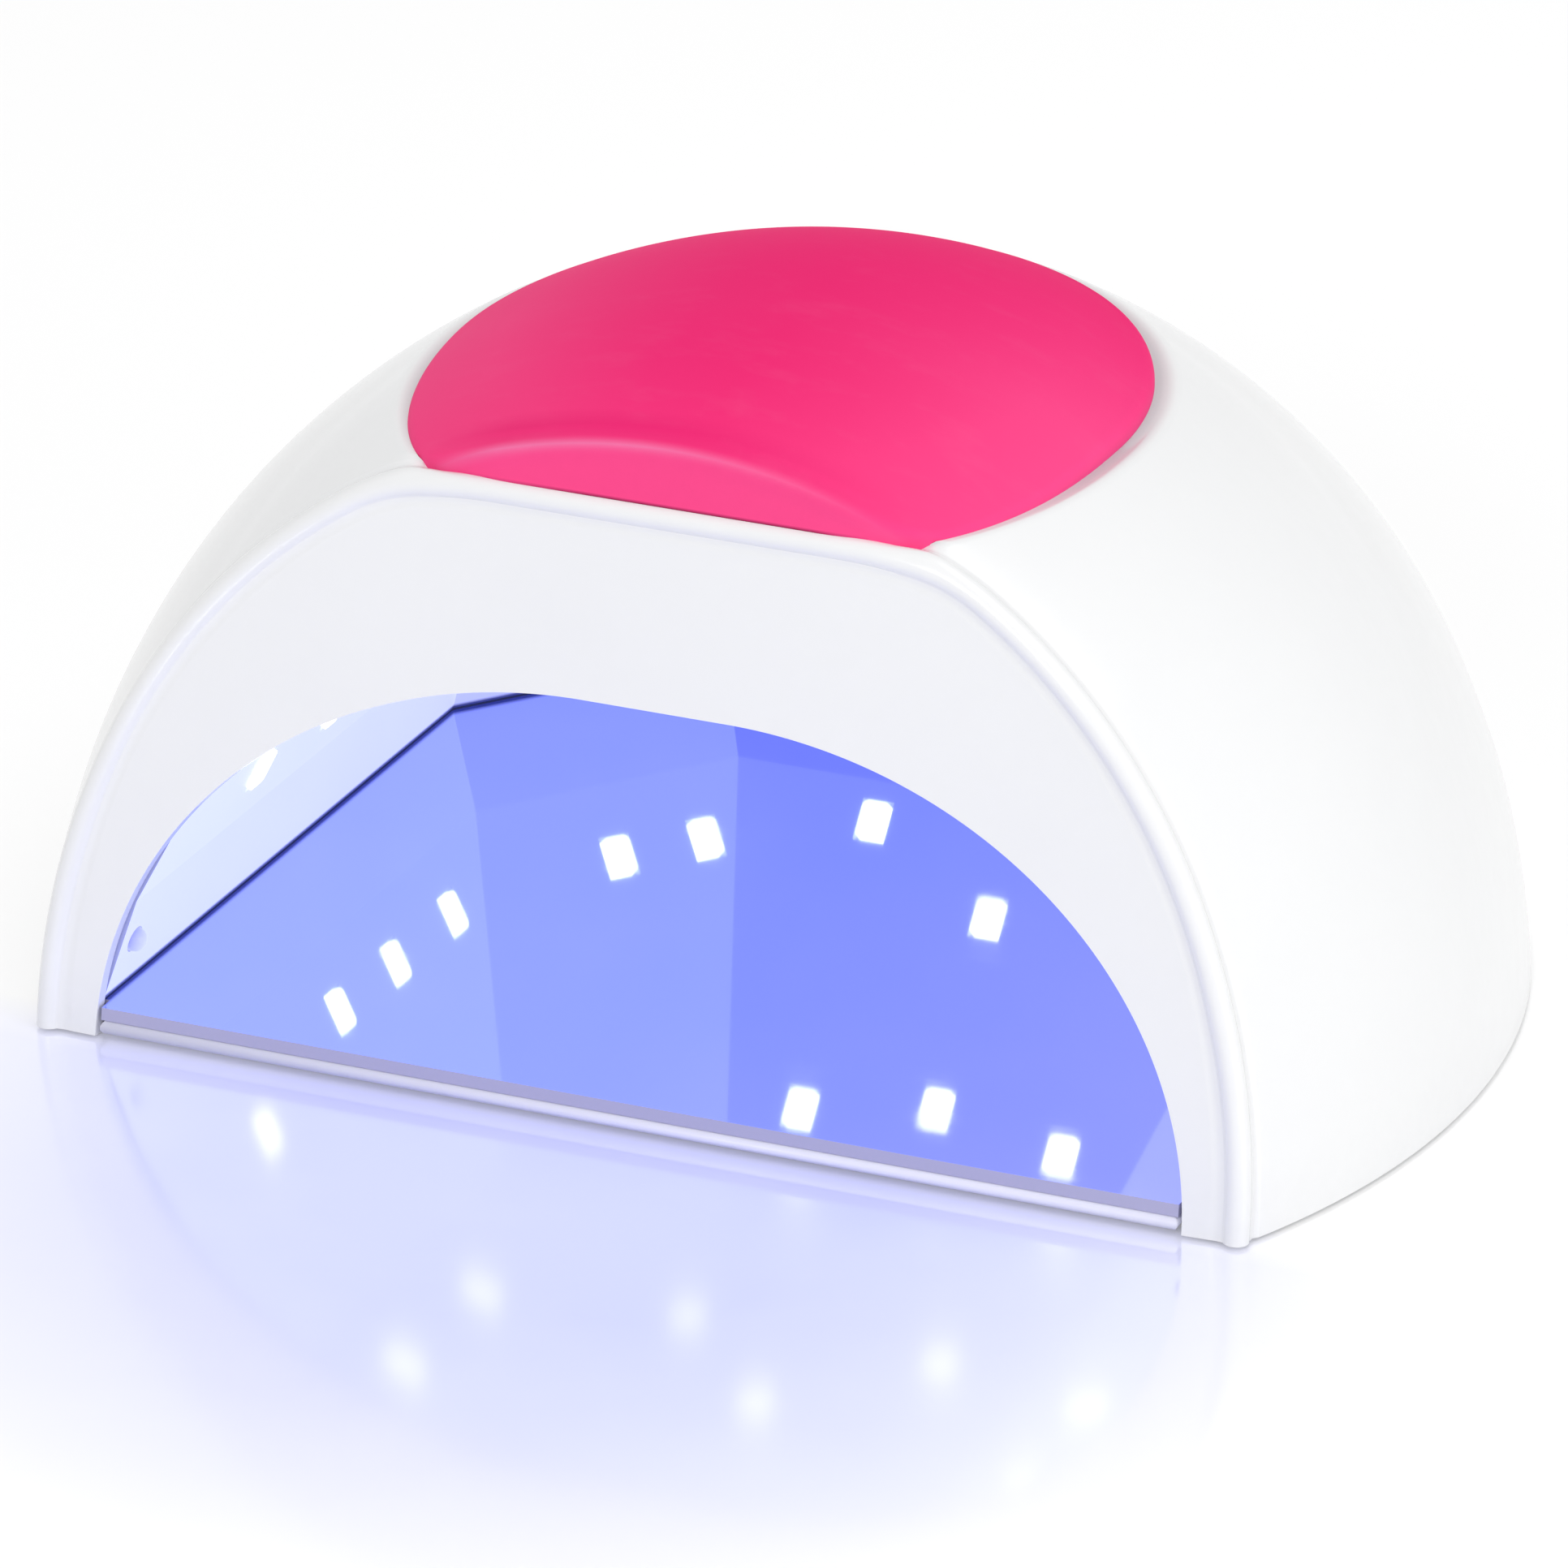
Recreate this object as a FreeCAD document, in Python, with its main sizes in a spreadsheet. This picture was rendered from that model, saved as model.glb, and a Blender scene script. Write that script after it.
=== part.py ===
"""UV LED nail lamp: a white domed housing with a pink hand pad, standing on a mirror-faced base.

Millimetres, +Z up.  The hand goes in along +Y through the arch in the front face, the control
panel is on the back.  The origin is at the middle of the footprint, at the height of the table.
"""
import FreeCAD, Part
import math
import os
import Sketcher
from FreeCAD import Matrix, Placement, Rotation, Vector

# ---------------------------------------------------------------- driving dimensions
SIZES = [
    # the dome and its wall
    ("dome_half_width", 114.0, "half width of the dome along X"),
    ("dome_half_depth", 127.0, "half depth of the dome along Y, if the front were not cut off"),
    ("dome_height", 117.0, "height of the dome, pad included"),
    ("dome_centre_y", -31.5, "Y of the dome's centre"),
    ("front_y", -95.5, "Y of the front face at table height"),
    ("front_lean", 8.6, "degrees that the front face leans back"),
    ("shell_wall", 2.4, "wall of the housing"),
    ("rim_gap", 0.6, "housing's lower rim above the table"),
    # the arch that the hand goes through
    ("arch_half_width", 91.0, "half width of the arch at table height"),
    ("arch_flat", 12.0, "half length of the arch's level top"),
    ("arch_height", 67.5, "height of the arch"),
    # the hand pad
    ("pad_crown", 17.7, "top of the pad above its lower edge"),
    ("pad_thick", 3.0, "thickness of the silicone"),
    ("pad_gap", 0.3, "clearance between the pad and its seat"),
    ("trough_depth", 1.5, "depth of the trough round the pad"),
    ("peg_radius", 2.5, "pegs under the pad"),
    ("peg_spread", 30.0, "distance of the pegs from the middle plane"),
    # the base, its mirror and its feet
    ("foot_height", 1.8, "rubber foot"),
    ("foot_sunk", 1.0, "how deep a foot is set into the base"),
    ("foot_radius", 7.0, "rubber foot"),
    ("foot_gap", 0.15, "clearance round a foot"),
    ("foot_x", 72.0, "feet from the middle plane"),
    ("foot_front_y", -70.0, "front feet"),
    ("foot_rear_y", 42.0, "rear feet"),
    ("base_thick", 2.4, "base"),
    ("mirror_thick", 2.0, "mirror plate"),
    ("base_gap", 0.8, "base to the housing around it"),
    ("lift_gap", 0.2, "mirror plate to the liner that stands over it"),
    # the reflector liner, a vault of flat facets
    ("liner_wall", 1.8, "wall of the liner"),
    ("vault_front_x", 91.2, "half width between the walls' feet at the front"),
    ("vault_corner_x", 86.3, "half width between the walls' feet at the rear corners"),
    ("vault_corner_y", 31.5, "Y of the rear corners"),
    ("vault_rear_x", 54.0, "half width of the rear wall"),
    ("vault_rear_y", 69.5, "Y of the rear wall's foot"),
    ("skirt_top", 22.0, "height of the crease above the walls"),
    ("slope_top", 60.0, "height of the crease between side slopes and shoulders"),
    ("ceiling_z", 69.5, "height of the ceiling"),
    ("wall_lean", 16.0, "degrees that the side walls lean in"),
    ("rear_lean", 10.0, "degrees that the rear wall leans in"),
    ("slope_lean", 26.0, "degrees that the side slopes lean in"),
    ("corner_lean", 40.0, "degrees that the corner slopes lean in"),
    ("back_lean", 42.0, "degrees that the rear slope leans in"),
    ("shoulder_lean", 70.0, "degrees that the shoulders lean in"),
    ("flange_thick", 1.8, "liner's flange"),
    ("flange_gap", 0.4, "liner to the housing"),
    # the light sources
    ("led_width", 5.0, "light source, along the wall"),
    ("led_height", 6.8, "light source, up the wall"),
    ("led_corner", 1.2, "corner radius of a light source"),
    ("led_proud", 0.5, "how far a light source stands out of the liner"),
    ("led_gap", 0.25, "clearance round a light source in the liner"),
    ("strip_thick", 1.2, "aluminium circuit strip"),
    ("strip_margin", 2.0, "strip past its outermost light sources"),
    ("strip_gap", 0.05, "strip to the liner"),
    ("sensor_radius", 2.0, "hand sensor"),
    ("sensor_length", 5.5, "hand sensor"),
    ("sensor_up", 8.5, "hand sensors above the foot of the side wall"),
    ("sensor_along", 10.0, "hand sensors from the front end of the side wall"),
    # fasteners between liner and housing
    ("boss_radius", 3.5, "screw boss in the housing"),
    ("boss_top", 60.0, "height of the bosses before the dome trims them"),
    ("boss_gap", 0.2, "boss to the flange"),
    ("pilot_radius", 1.3, "pilot hole for a screw"),
    ("pilot_depth", 11.0, "pilot hole for a screw"),
    ("pilot_spare", 0.6, "pilot hole past the tip of a board screw"),
    ("screw_radius", 1.2, "screw's shank"),
    ("screw_head_radius", 2.6, "screw's head"),
    ("screw_head_thick", 1.0, "screw's head, sunk in the flange"),
    ("screw_length", 10.0, "screw, head included"),
    ("magnet_radius", 4.0, "magnet"),
    ("magnet_thick", 3.0, "magnet"),
    ("magnet_gap", 0.15, "clearance round and above a magnet"),
    ("magnet_cup", 1.2, "wall of the cup that holds a magnet"),
    # the control facet on the back
    ("facet_tilt", 35.0, "degrees that the facet's normal points above the horizon"),
    ("facet_depth", 7.0, "how far the facet cuts into the dome"),
    ("face_radius", 32.0, "control faceplate"),
    ("face_thick", 1.6, "control faceplate"),
    ("face_gap", 0.15, "faceplate to its recess"),
    ("window_length", 34.0, "display window"),
    ("window_height", 15.0, "display window"),
    ("window_up", 10.0, "window's centre above the faceplate's centre"),
    ("window_gap", 0.1, "window to the faceplate round it"),
    ("button_ring", 20.5, "buttons from the faceplate's centre"),
    ("button_step", 36.0, "degrees between buttons"),
    ("button_radius", 4.6, "button"),
    ("button_gap", 0.3, "clearance round a button"),
    ("button_proud", 1.4, "button above the faceplate"),
    ("button_travel", 0.8, "how far a button goes in"),
    ("collar_radius", 5.7, "button's collar"),
    ("collar_thick", 0.9, "button's collar"),
    ("collar_gap", 0.1, "collar to the faceplate above it"),
    ("stem_radius", 1.6, "button's stem"),
    ("board_depth", 12.0, "facet to the front of the control board"),
    ("board_thick", 1.6, "control board"),
    ("board_radius", 29.0, "control board"),
    ("post_radius", 3.0, "posts that carry the control board"),
    ("post_ring", 25.0, "posts from the board's centre"),
    ("post_angle", -12.0, "degrees of the right-hand post above the horizontal"),
    ("switch_side", 6.0, "key switch"),
    ("switch_height", 3.5, "key switch"),
    ("plunger_radius", 1.7, "key switch's plunger"),
    ("plunger_gap", 0.1, "clearance round a plunger"),
    ("plunger_proud", 1.5, "plunger above its switch"),
    ("plunger_sunk", 1.1, "plunger inside its switch"),
    ("digits_length", 30.0, "numeric display module"),
    ("digits_height", 12.4, "numeric display module"),
    ("digits_depth", 2.3, "facet to the display module's face"),
    ("digits_gap", 0.3, "clearance round the display module"),
    # the direct-current inlet
    ("inlet_z", 17.0, "height of the inlet's axis"),
    ("inlet_seat_y", 92.2, "Y of the flat that the inlet's flange sits on"),
    ("inlet_wall", 3.0, "housing's wall at the inlet"),
    ("inlet_radius", 5.3, "inlet's barrel"),
    ("inlet_gap", 0.2, "clearance round the barrel and its flange"),
    ("inlet_length", 11.0, "barrel behind the flange"),
    ("inlet_flange_radius", 6.8, "inlet's flange"),
    ("inlet_flange_thick", 1.5, "inlet's flange"),
    ("inlet_pad_radius", 9.5, "thick place round the inlet inside the housing"),
    ("inlet_bore", 3.2, "radius of the socket"),
    ("inlet_bore_depth", 9.5, "depth of the socket"),
    ("inlet_pin_radius", 1.05, "centre pin"),
    ("inlet_pin_sunk", 1.5, "centre pin's tip below the flange"),
    ("nut_radius", 7.6, "ring nut, across its corners"),
    ("nut_thick", 2.2, "ring nut"),
    # leads and what stands on the board
    ("lead_radius", 1.2, "sheathed lead"),
    ("plug_side", 5.0, "lead's plug on the control board"),
    ("plug_height", 4.0, "lead's plug on the control board"),
    ("chip_side", 9.0, "controller chip"),
    ("chip_height", 1.6, "controller chip"),
    ("coil_radius", 3.6, "driver's coil"),
    ("coil_height", 4.2, "driver's coil"),
    ("capacitor_radius", 3.1, "capacitor"),
    ("capacitor_height", 6.0, "capacitor"),
]

# Places of the screws and magnets in the liner's flange: (X, Y), each with its mirror image.
SCREW_SPOTS = [(98.8, -72.0), (101.0, -12.0), (38.0, 78.4)]
MAGNET_SPOTS = [(101.5, -44.0), (95.3, 20.0)]

# Light sources on each facet: (along it from its datum, up it from its foot).
SLOPE_LIGHTS = [(40.0, 11.0), (66.0, 11.0), (86.0, 11.0), (107.0, 11.0)]
CORNER_LIGHTS = [(24.0, 12.5), (40.0, 12.5)]
BACK_LIGHTS = [(-24.0, 7.0), (0.0, 20.0), (24.0, 7.0)]
CROWN_LIGHTS = [(-23.0, 57.5), (0.0, 53.5), (23.0, 57.5)]
SHOULDER_LIGHTS = [(34.0, 14.0), (62.0, 14.0)]
CEILING_LIGHTS = [(-22.0, 74.0), (22.0, 74.0), (0.0, 50.0)]

BUTTON_NAMES = ["10", "30", "60", "99"]

BIG = 400.0  # side of the blocks that trim the dome and the vault
X_AXIS = Vector(1, 0, 0)
Y_AXIS = Vector(0, 1, 0)
Z_AXIS = Vector(0, 0, 1)

doc = FreeCAD.newDocument("nail_lamp")
sheet = doc.addObject("Spreadsheet::Sheet", "Sizes")
for row, (alias, value, note) in enumerate(SIZES, start=1):
    sheet.set(f"A{row}", note)
    sheet.set(f"B{row}", str(value))
    sheet.setAlias(f"B{row}", alias)
doc.recompute()
size = {alias: float(sheet.get(alias)) for alias, _, _ in SIZES}
nodes = []


# ---------------------------------------------------------------- expressions and documents
def text(expression):
    """The expression with each size's name pointing at its cell on the sheet."""
    found = ""
    word = ""
    for letter in str(expression) + " ":
        if letter.isalnum() or letter == "_":
            word += letter
        else:
            found += ("Sizes." + word if word in size else word) + letter
            word = ""
    return found.strip()


def value_of(expression):
    """The value of an expression on the sizes, for a placement that code works out."""
    return float(sheet.evalExpression(str(expression)))


def bind(thing, **sizes):
    for name, expression in sizes.items():
        thing.setExpression(name, text(expression))
    return thing


def node(label, thing):
    """Marks an object as a finished piece; its label names its file."""
    thing.Label = label
    nodes.append(thing)
    return thing


def box(name, place, length, width, height):
    """A block whose corner is at the placement."""
    thing = bind(doc.addObject("Part::Box", name), Length=length, Width=width, Height=height)
    thing.Placement = place
    return thing


def centred_box(name, place, length, width, height):
    """A block that is centred on the placement's Z axis and rises from its origin."""
    corner = Vector(-value_of(length) / 2, -value_of(width) / 2, 0)
    return box(name, place * Placement(corner, Rotation()), length, width, height)


def cylinder(name, place, radius, height):
    thing = bind(doc.addObject("Part::Cylinder", name), Radius=radius, Height=height)
    thing.Placement = place
    return thing


def cut(name, base, *tools):
    thing = doc.addObject("Part::Cut", name)
    thing.Base = base
    thing.Tool = tools[0] if len(tools) == 1 else group(name + "_tools", *tools)
    return thing


def group(name, *shapes):
    """Separate solids kept as one object."""
    thing = doc.addObject("Part::Compound", name)
    thing.Links = list(shapes)
    return thing


def fuse(name, *shapes):
    thing = doc.addObject("Part::MultiFuse", name)
    thing.Shapes = list(shapes)
    return thing


def common(name, *shapes):
    thing = doc.addObject("Part::MultiCommon", name)
    thing.Shapes = list(shapes)
    return thing


def frame(origin, along, up, out):
    """The placement whose X, Y and Z run along, up and out."""
    return Placement(
        Matrix(
            along.x, up.x, out.x, origin.x,
            along.y, up.y, out.y, origin.y,
            along.z, up.z, out.z, origin.z,
            0, 0, 0, 1,
        )
    )


def shifted(place, along, up, out=0.0):
    return place * Placement(Vector(along, up, out), Rotation())


def at(x, y, z):
    return Placement(Vector(x, y, z), Rotation())


def both_sides(spots):
    """Each spot and its mirror image across the middle plane."""
    return [(side * x, y) for x, y in spots for side in (-1, 1)]


# ---------------------------------------------------------------- sketched bodies
def body_plane(body, role):
    return [part for part in body.Origin.OriginFeatures if part.Role == role][0]


def sketch_in(body, name, role="XY_Plane"):
    sketch = body.newObject("Sketcher::SketchObject", name)
    sketch.AttachmentSupport = [(body_plane(body, role), "")]
    sketch.MapMode = "FlatFace"
    return sketch


def pin_point(sketch, line, along, up):
    """Fixes a line's start at a distance along and up from the sketch's origin."""
    for kind, axis, expression in (("DistanceX", -2, along), ("DistanceY", -1, up)):
        amount = value_of(expression)
        if abs(amount) < 1e-9:
            sketch.addConstraint(Sketcher.Constraint("PointOnObject", line, 1, axis))
            continue
        index = sketch.addConstraint(Sketcher.Constraint(kind, -1, 1, line, 1, amount))
        sketch.setExpression(f"Constraints[{index}]", text(expression))


def outline(sketch, points):
    """A closed run of lines through points, whose two distances are expressions on the sheet."""
    spots = [Vector(value_of(along), value_of(up), 0) for along, up in points]
    lines = []
    for start, end in zip(spots, spots[1:] + spots[:1]):
        lines.append(sketch.addGeometry(Part.LineSegment(start, end), False))
    for line, following in zip(lines, lines[1:] + lines[:1]):
        sketch.addConstraint(Sketcher.Constraint("Coincident", line, 2, following, 1))
    for line, (along, up) in zip(lines, points):
        pin_point(sketch, line, along, up)


def circle(sketch, radius, along="0", up="0"):
    """A circle whose radius and centre are expressions on the sheet."""
    centre = Vector(value_of(along), value_of(up), 0)
    ring = sketch.addGeometry(Part.Circle(centre, Z_AXIS, value_of(radius)), False)
    index = sketch.addConstraint(Sketcher.Constraint("Radius", ring, value_of(radius)))
    sketch.setExpression(f"Constraints[{index}]", text(radius))
    for kind, axis, expression in (("DistanceX", -2, along), ("DistanceY", -1, up)):
        amount = value_of(expression)
        if abs(amount) < 1e-9:
            sketch.addConstraint(Sketcher.Constraint("PointOnObject", ring, 3, axis))
            continue
        index = sketch.addConstraint(Sketcher.Constraint(kind, -1, 1, ring, 3, amount))
        sketch.setExpression(f"Constraints[{index}]", text(expression))


def turned(name, place, points):
    """A turned piece: the outline of (radius, height) points revolved about its own Z axis."""
    body = doc.addObject("PartDesign::Body", name)
    sketch = sketch_in(body, name + "_section", "XZ_Plane")
    outline(sketch, points)
    feature = body.newObject("PartDesign::Revolution", name + "_turn")
    feature.Profile = sketch
    feature.ReferenceAxis = (sketch, ["V_Axis"])
    feature.Angle = 360.0
    body.Placement = place
    return body


def sheet_piece(name, place, thickness, draw):
    """A flat piece: the sketch that draw() fills, padded upwards."""
    body = doc.addObject("PartDesign::Body", name)
    sketch = sketch_in(body, name + "_outline")
    draw(sketch)
    feature = body.newObject("PartDesign::Pad", name + "_pad")
    feature.Profile = sketch
    bind(feature, Length=thickness)
    body.Placement = place
    return body


# ---------------------------------------------------------------- the dome's trimming shapes
PAD_RIM = "(dome_height - pad_crown)"  # height of the pad's lower edge


def dome(name, inset):
    """The dome's ellipsoid, smaller all round by an inset."""
    thing = doc.addObject("Part::Ellipsoid", name)
    thing.Angle1 = -90
    thing.Angle2 = 90
    bind(thing, Radius1=f"dome_height - ({inset})", Radius2=f"dome_half_width - ({inset})")
    bind(thing, Radius3=f"dome_half_depth - ({inset})")
    thing.Placement = at(0, size["dome_centre_y"], 0)
    return thing


def slab(name, low, high):
    """Everything between two heights."""
    return centred_box(name, at(0, 0, value_of(low)), str(BIG), str(BIG), f"({high}) - ({low})")


def behind_front(name, inset):
    """Everything behind a plane that is parallel to the front face and set in from it."""
    lean = Rotation(X_AXIS, -size["front_lean"])
    foot = Vector(0, size["front_y"], 0) + lean.multVec(Y_AXIS) * value_of(inset)
    corner = Vector(-BIG / 2, 0, -BIG / 2)
    place = Placement(foot, lean) * Placement(corner, Rotation())
    return box(name, place, str(BIG), str(BIG), str(BIG))


tilt = math.radians(size["facet_tilt"])
facet_out = Vector(0, math.cos(tilt), math.sin(tilt))
facet_up = Vector(0, -math.sin(tilt), math.cos(tilt))
depth_reach = size["dome_half_depth"] ** 2 * math.cos(tilt)
height_reach = size["dome_height"] ** 2 * math.sin(tilt)
tangent_reach = math.sqrt(depth_reach * math.cos(tilt) + height_reach * math.sin(tilt))
facet_share = (tangent_reach - size["facet_depth"]) / tangent_reach**2
facet_centre = Vector(0, size["dome_centre_y"] + facet_share * depth_reach, facet_share * height_reach)
facet_frame = frame(facet_centre, -X_AXIS, facet_up, facet_out)


def in_facet(along, up, depth):
    """A placement under the control facet: right as seen from behind, up, and how deep."""
    return shifted(facet_frame, along, up, -value_of(depth))


def inside_facet(name, depth):
    """Everything on the dome's side of a plane that is parallel to the control facet."""
    corner = in_facet(-BIG / 2, -BIG / 2, f"{BIG} + {depth}")
    return box(name, corner, str(BIG), str(BIG), str(BIG))


def facet_disc(name, along, up, radius, top, bottom):
    """A disc under the control facet between two depths."""
    return cylinder(name, in_facet(along, up, bottom), radius, f"({bottom}) - ({top})")


def facet_block(name, along, up, length, width, top, bottom):
    """A block under the control facet between two depths."""
    return centred_box(name, in_facet(along, up, bottom), length, width, f"({bottom}) - ({top})")


# ---------------------------------------------------------------- the vault's facets
def facet_of_vault(foot, heading, lean):
    """A facet's frame: its X runs along it, Y up it and Z out of the vault.

    The heading is the horizontal direction that the facet faces, in degrees from +X; the lean
    is from the vertical, towards the inside.
    """
    turn, slope = math.radians(heading), math.radians(lean)
    along = Vector(math.sin(turn), -math.cos(turn), 0)
    up = Vector(
        math.cos(turn) * math.sin(slope), math.sin(turn) * math.sin(slope), math.cos(slope)
    )
    return frame(foot, along, up, along.cross(up))


def stepped_in(foot, heading, lean, rise):
    """The point that lies a rise above the foot on a facet, square to the facet's foot."""
    reach = rise * math.tan(math.radians(lean))
    turn = math.radians(heading)
    return foot + Vector(reach * math.cos(turn), reach * math.sin(turn), rise)


floor_z = value_of("foot_height - foot_sunk + base_thick + mirror_thick + lift_gap")
front_foot = Vector(size["vault_front_x"], size["front_y"], floor_z)
corner_foot = Vector(size["vault_corner_x"], size["vault_corner_y"], floor_z)
rear_foot = Vector(size["vault_rear_x"], size["vault_rear_y"], floor_z)
skirt_rise = size["skirt_top"] - floor_z
slope_rise = size["slope_top"] - size["skirt_top"]


def heading_between(start, end):
    """The way a wall faces, to the left of the direction from its start to its end."""
    return math.degrees(math.atan2(end.y - start.y, end.x - start.x)) + 90


def side_facets(side):
    """The five facets on one side: wall, slope, shoulder, corner wall and corner slope."""
    wall_turn = heading_between(front_foot, corner_foot)
    corner_turn = heading_between(corner_foot, rear_foot)
    slope_foot = stepped_in(front_foot, wall_turn, size["wall_lean"], skirt_rise)
    shoulder_foot = stepped_in(slope_foot, wall_turn, size["slope_lean"], slope_rise)
    corner_crease = stepped_in(corner_foot, corner_turn, size["wall_lean"], skirt_rise)
    found = {
        "wall": (front_foot, wall_turn, size["wall_lean"]),
        "slope": (slope_foot, wall_turn, size["slope_lean"]),
        "shoulder": (shoulder_foot, wall_turn, size["shoulder_lean"]),
        "corner": (corner_foot, corner_turn, size["wall_lean"]),
        "corner_slope": (corner_crease, corner_turn, size["corner_lean"]),
    }
    facets = {}
    for name, (foot, heading, lean) in found.items():
        if side < 0:
            foot, heading = Vector(-foot.x, foot.y, foot.z), 180 - heading
        facets[name] = facet_of_vault(foot, heading, lean)
    return facets


def middle_facets():
    """The three facets across the middle: rear wall, rear slope and ceiling."""
    foot = Vector(0, size["vault_rear_y"], floor_z)
    crease = stepped_in(foot, -90, size["rear_lean"], skirt_rise)
    return {
        "rear": facet_of_vault(foot, -90, size["rear_lean"]),
        "rear_slope": facet_of_vault(crease, -90, size["back_lean"]),
        "ceiling": facet_of_vault(Vector(0, size["front_y"], size["ceiling_z"]), 90, 90),
    }


right_facets = side_facets(1)
left_facets = side_facets(-1)
mid_facets = middle_facets()
all_facets = [*right_facets.values(), *left_facets.values(), *mid_facets.values()]


def vault(name, inset):
    """The space inside all facets, larger all round by an inset."""
    halves = []
    for index, facet in enumerate(all_facets):
        corner = shifted(facet, -BIG / 2, -BIG / 2, value_of(inset) - BIG)
        halves.append(box(f"{name}_{index}", corner, str(BIG), str(BIG), str(BIG)))
    return common(name, *halves)


# Each run of light sources: (name of its side, facet, spots).  Spots on the left are mirrored.
light_runs = []
for side_name, facets, sign in (("left", left_facets, -1), ("right", right_facets, 1)):
    for facet_name, spots in (
        ("slope", SLOPE_LIGHTS),
        ("corner_slope", CORNER_LIGHTS),
        ("shoulder", SHOULDER_LIGHTS),
    ):
        mirrored = [(sign * along, up) for along, up in spots]
        light_runs.append((side_name, facets[facet_name], mirrored))
light_runs.append(("rear", mid_facets["rear_slope"], BACK_LIGHTS))
light_runs.append(("ceiling", mid_facets["rear_slope"], CROWN_LIGHTS))
light_runs.append(("ceiling", mid_facets["ceiling"], CEILING_LIGHTS))


# ---------------------------------------------------------------- housing
def facet_post_spots():
    """The three posts that carry the control board: (along, up) on the facet."""
    angles = (90.0, size["post_angle"], 180.0 - size["post_angle"])
    ring = size["post_ring"]
    return [(ring * math.cos(math.radians(a)), ring * math.sin(math.radians(a))) for a in angles]


def button_spots():
    """The buttons' centres on the facet, from left to right as seen from behind."""
    spots = []
    for index in range(len(BUTTON_NAMES)):
        angle = math.radians(-90 + (index - (len(BUTTON_NAMES) - 1) / 2) * size["button_step"])
        spots.append((size["button_ring"] * math.cos(angle), size["button_ring"] * math.sin(angle)))
    return spots


def stretched(name, flat_shape, along, up, place):
    """A flat shape of unit radius stretched along its two axes and moved to its place."""
    stretch = Matrix(along, 0, 0, 0, 0, up, 0, 0, 0, 0, 1, 0, 0, 0, 0, 1)
    thing = doc.addObject("Part::Feature", name)
    thing.Shape = flat_shape.transformGeometry(stretch)
    thing.Placement = place
    return thing


def drawn_out(name, base, direction, length):
    """A flat shape drawn out along a direction, as far each way from its place."""
    thing = doc.addObject("Part::Extrusion", name)
    thing.Base = base
    thing.DirMode = "Custom"
    thing.Dir = direction
    thing.Solid = True
    thing.Symmetric = True
    return bind(thing, LengthFwd=length)


def arch(name):
    """The hand's way in: two quarter ellipses with a level top between them, open below."""
    reach = size["arch_half_width"] - size["arch_flat"]
    flat = size["arch_flat"] / reach
    quarter = math.sqrt(0.5)
    left, right = Vector(-1 - flat, 0, 0), Vector(1 + flat, 0, 0)
    top_left, top_right = Vector(-flat, 1, 0), Vector(flat, 1, 0)
    below = Vector(0, -1, 0)
    edges = [
        Part.Arc(left, Vector(-flat - quarter, quarter, 0), top_left).toShape(),
        Part.LineSegment(top_left, top_right).toShape(),
        Part.Arc(top_right, Vector(flat + quarter, quarter, 0), right).toShape(),
        Part.LineSegment(right, right + below).toShape(),
        Part.LineSegment(right + below, left + below).toShape(),
        Part.LineSegment(left + below, left).toShape(),
    ]
    upright = Placement(Vector(0, size["front_y"], 0), Rotation(X_AXIS, 90))
    profile = stretched(name + "_profile", Part.Face(Part.Wire(edges)), reach, size["arch_height"], upright)
    return drawn_out(name, profile, Y_AXIS, "100")


def housing_outside():
    """The dome with its flat front and control facet, lowered under the pad on every side."""
    below_pad = common(
        "outside_below_pad",
        dome("dome_below_pad", "0"),
        behind_front("front_below_pad", "0"),
        inside_facet("facet_below_pad", "0"),
        slab("rim_to_trough", "rim_gap", f"{PAD_RIM} - trough_depth"),
    )
    under_pad = common(
        "outside_under_pad",
        dome("dome_under_pad", "pad_thick + pad_gap"),
        behind_front("front_under_pad", "pad_thick + pad_gap"),
        slab("trough_to_top", f"{PAD_RIM} - trough_depth - shell_wall", "dome_height"),
    )
    return fuse("housing_outside", below_pad, under_pad)


def housing_inside():
    wall_depth = "face_thick + shell_wall"
    below_pad = common(
        "inside_below_pad",
        dome("inner_dome_below_pad", "shell_wall"),
        behind_front("inner_front_below_pad", "shell_wall"),
        inside_facet("inner_facet_below_pad", wall_depth),
        slab("floor_to_pad", "-10", f"{PAD_RIM} - trough_depth - 2 * shell_wall"),
    )
    under_pad = common(
        "inside_under_pad",
        dome("inner_dome_under_pad", "pad_thick + pad_gap + shell_wall"),
        behind_front("inner_front_under_pad", "pad_thick + pad_gap + shell_wall"),
        inside_facet("inner_facet_under_pad", wall_depth),
        slab("floor_to_top", "-10", "dome_height"),
    )
    return fuse("housing_inside", below_pad, under_pad)


boss_foot = f"{floor_z} + flange_thick + boss_gap"
inlet_turn = Rotation(X_AXIS, -90)


def behind_inlet(y, z=size["inlet_z"]):
    """A placement on the inlet's axis whose Z points to the rear."""
    return Placement(Vector(0, y, z), inlet_turn)


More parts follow.
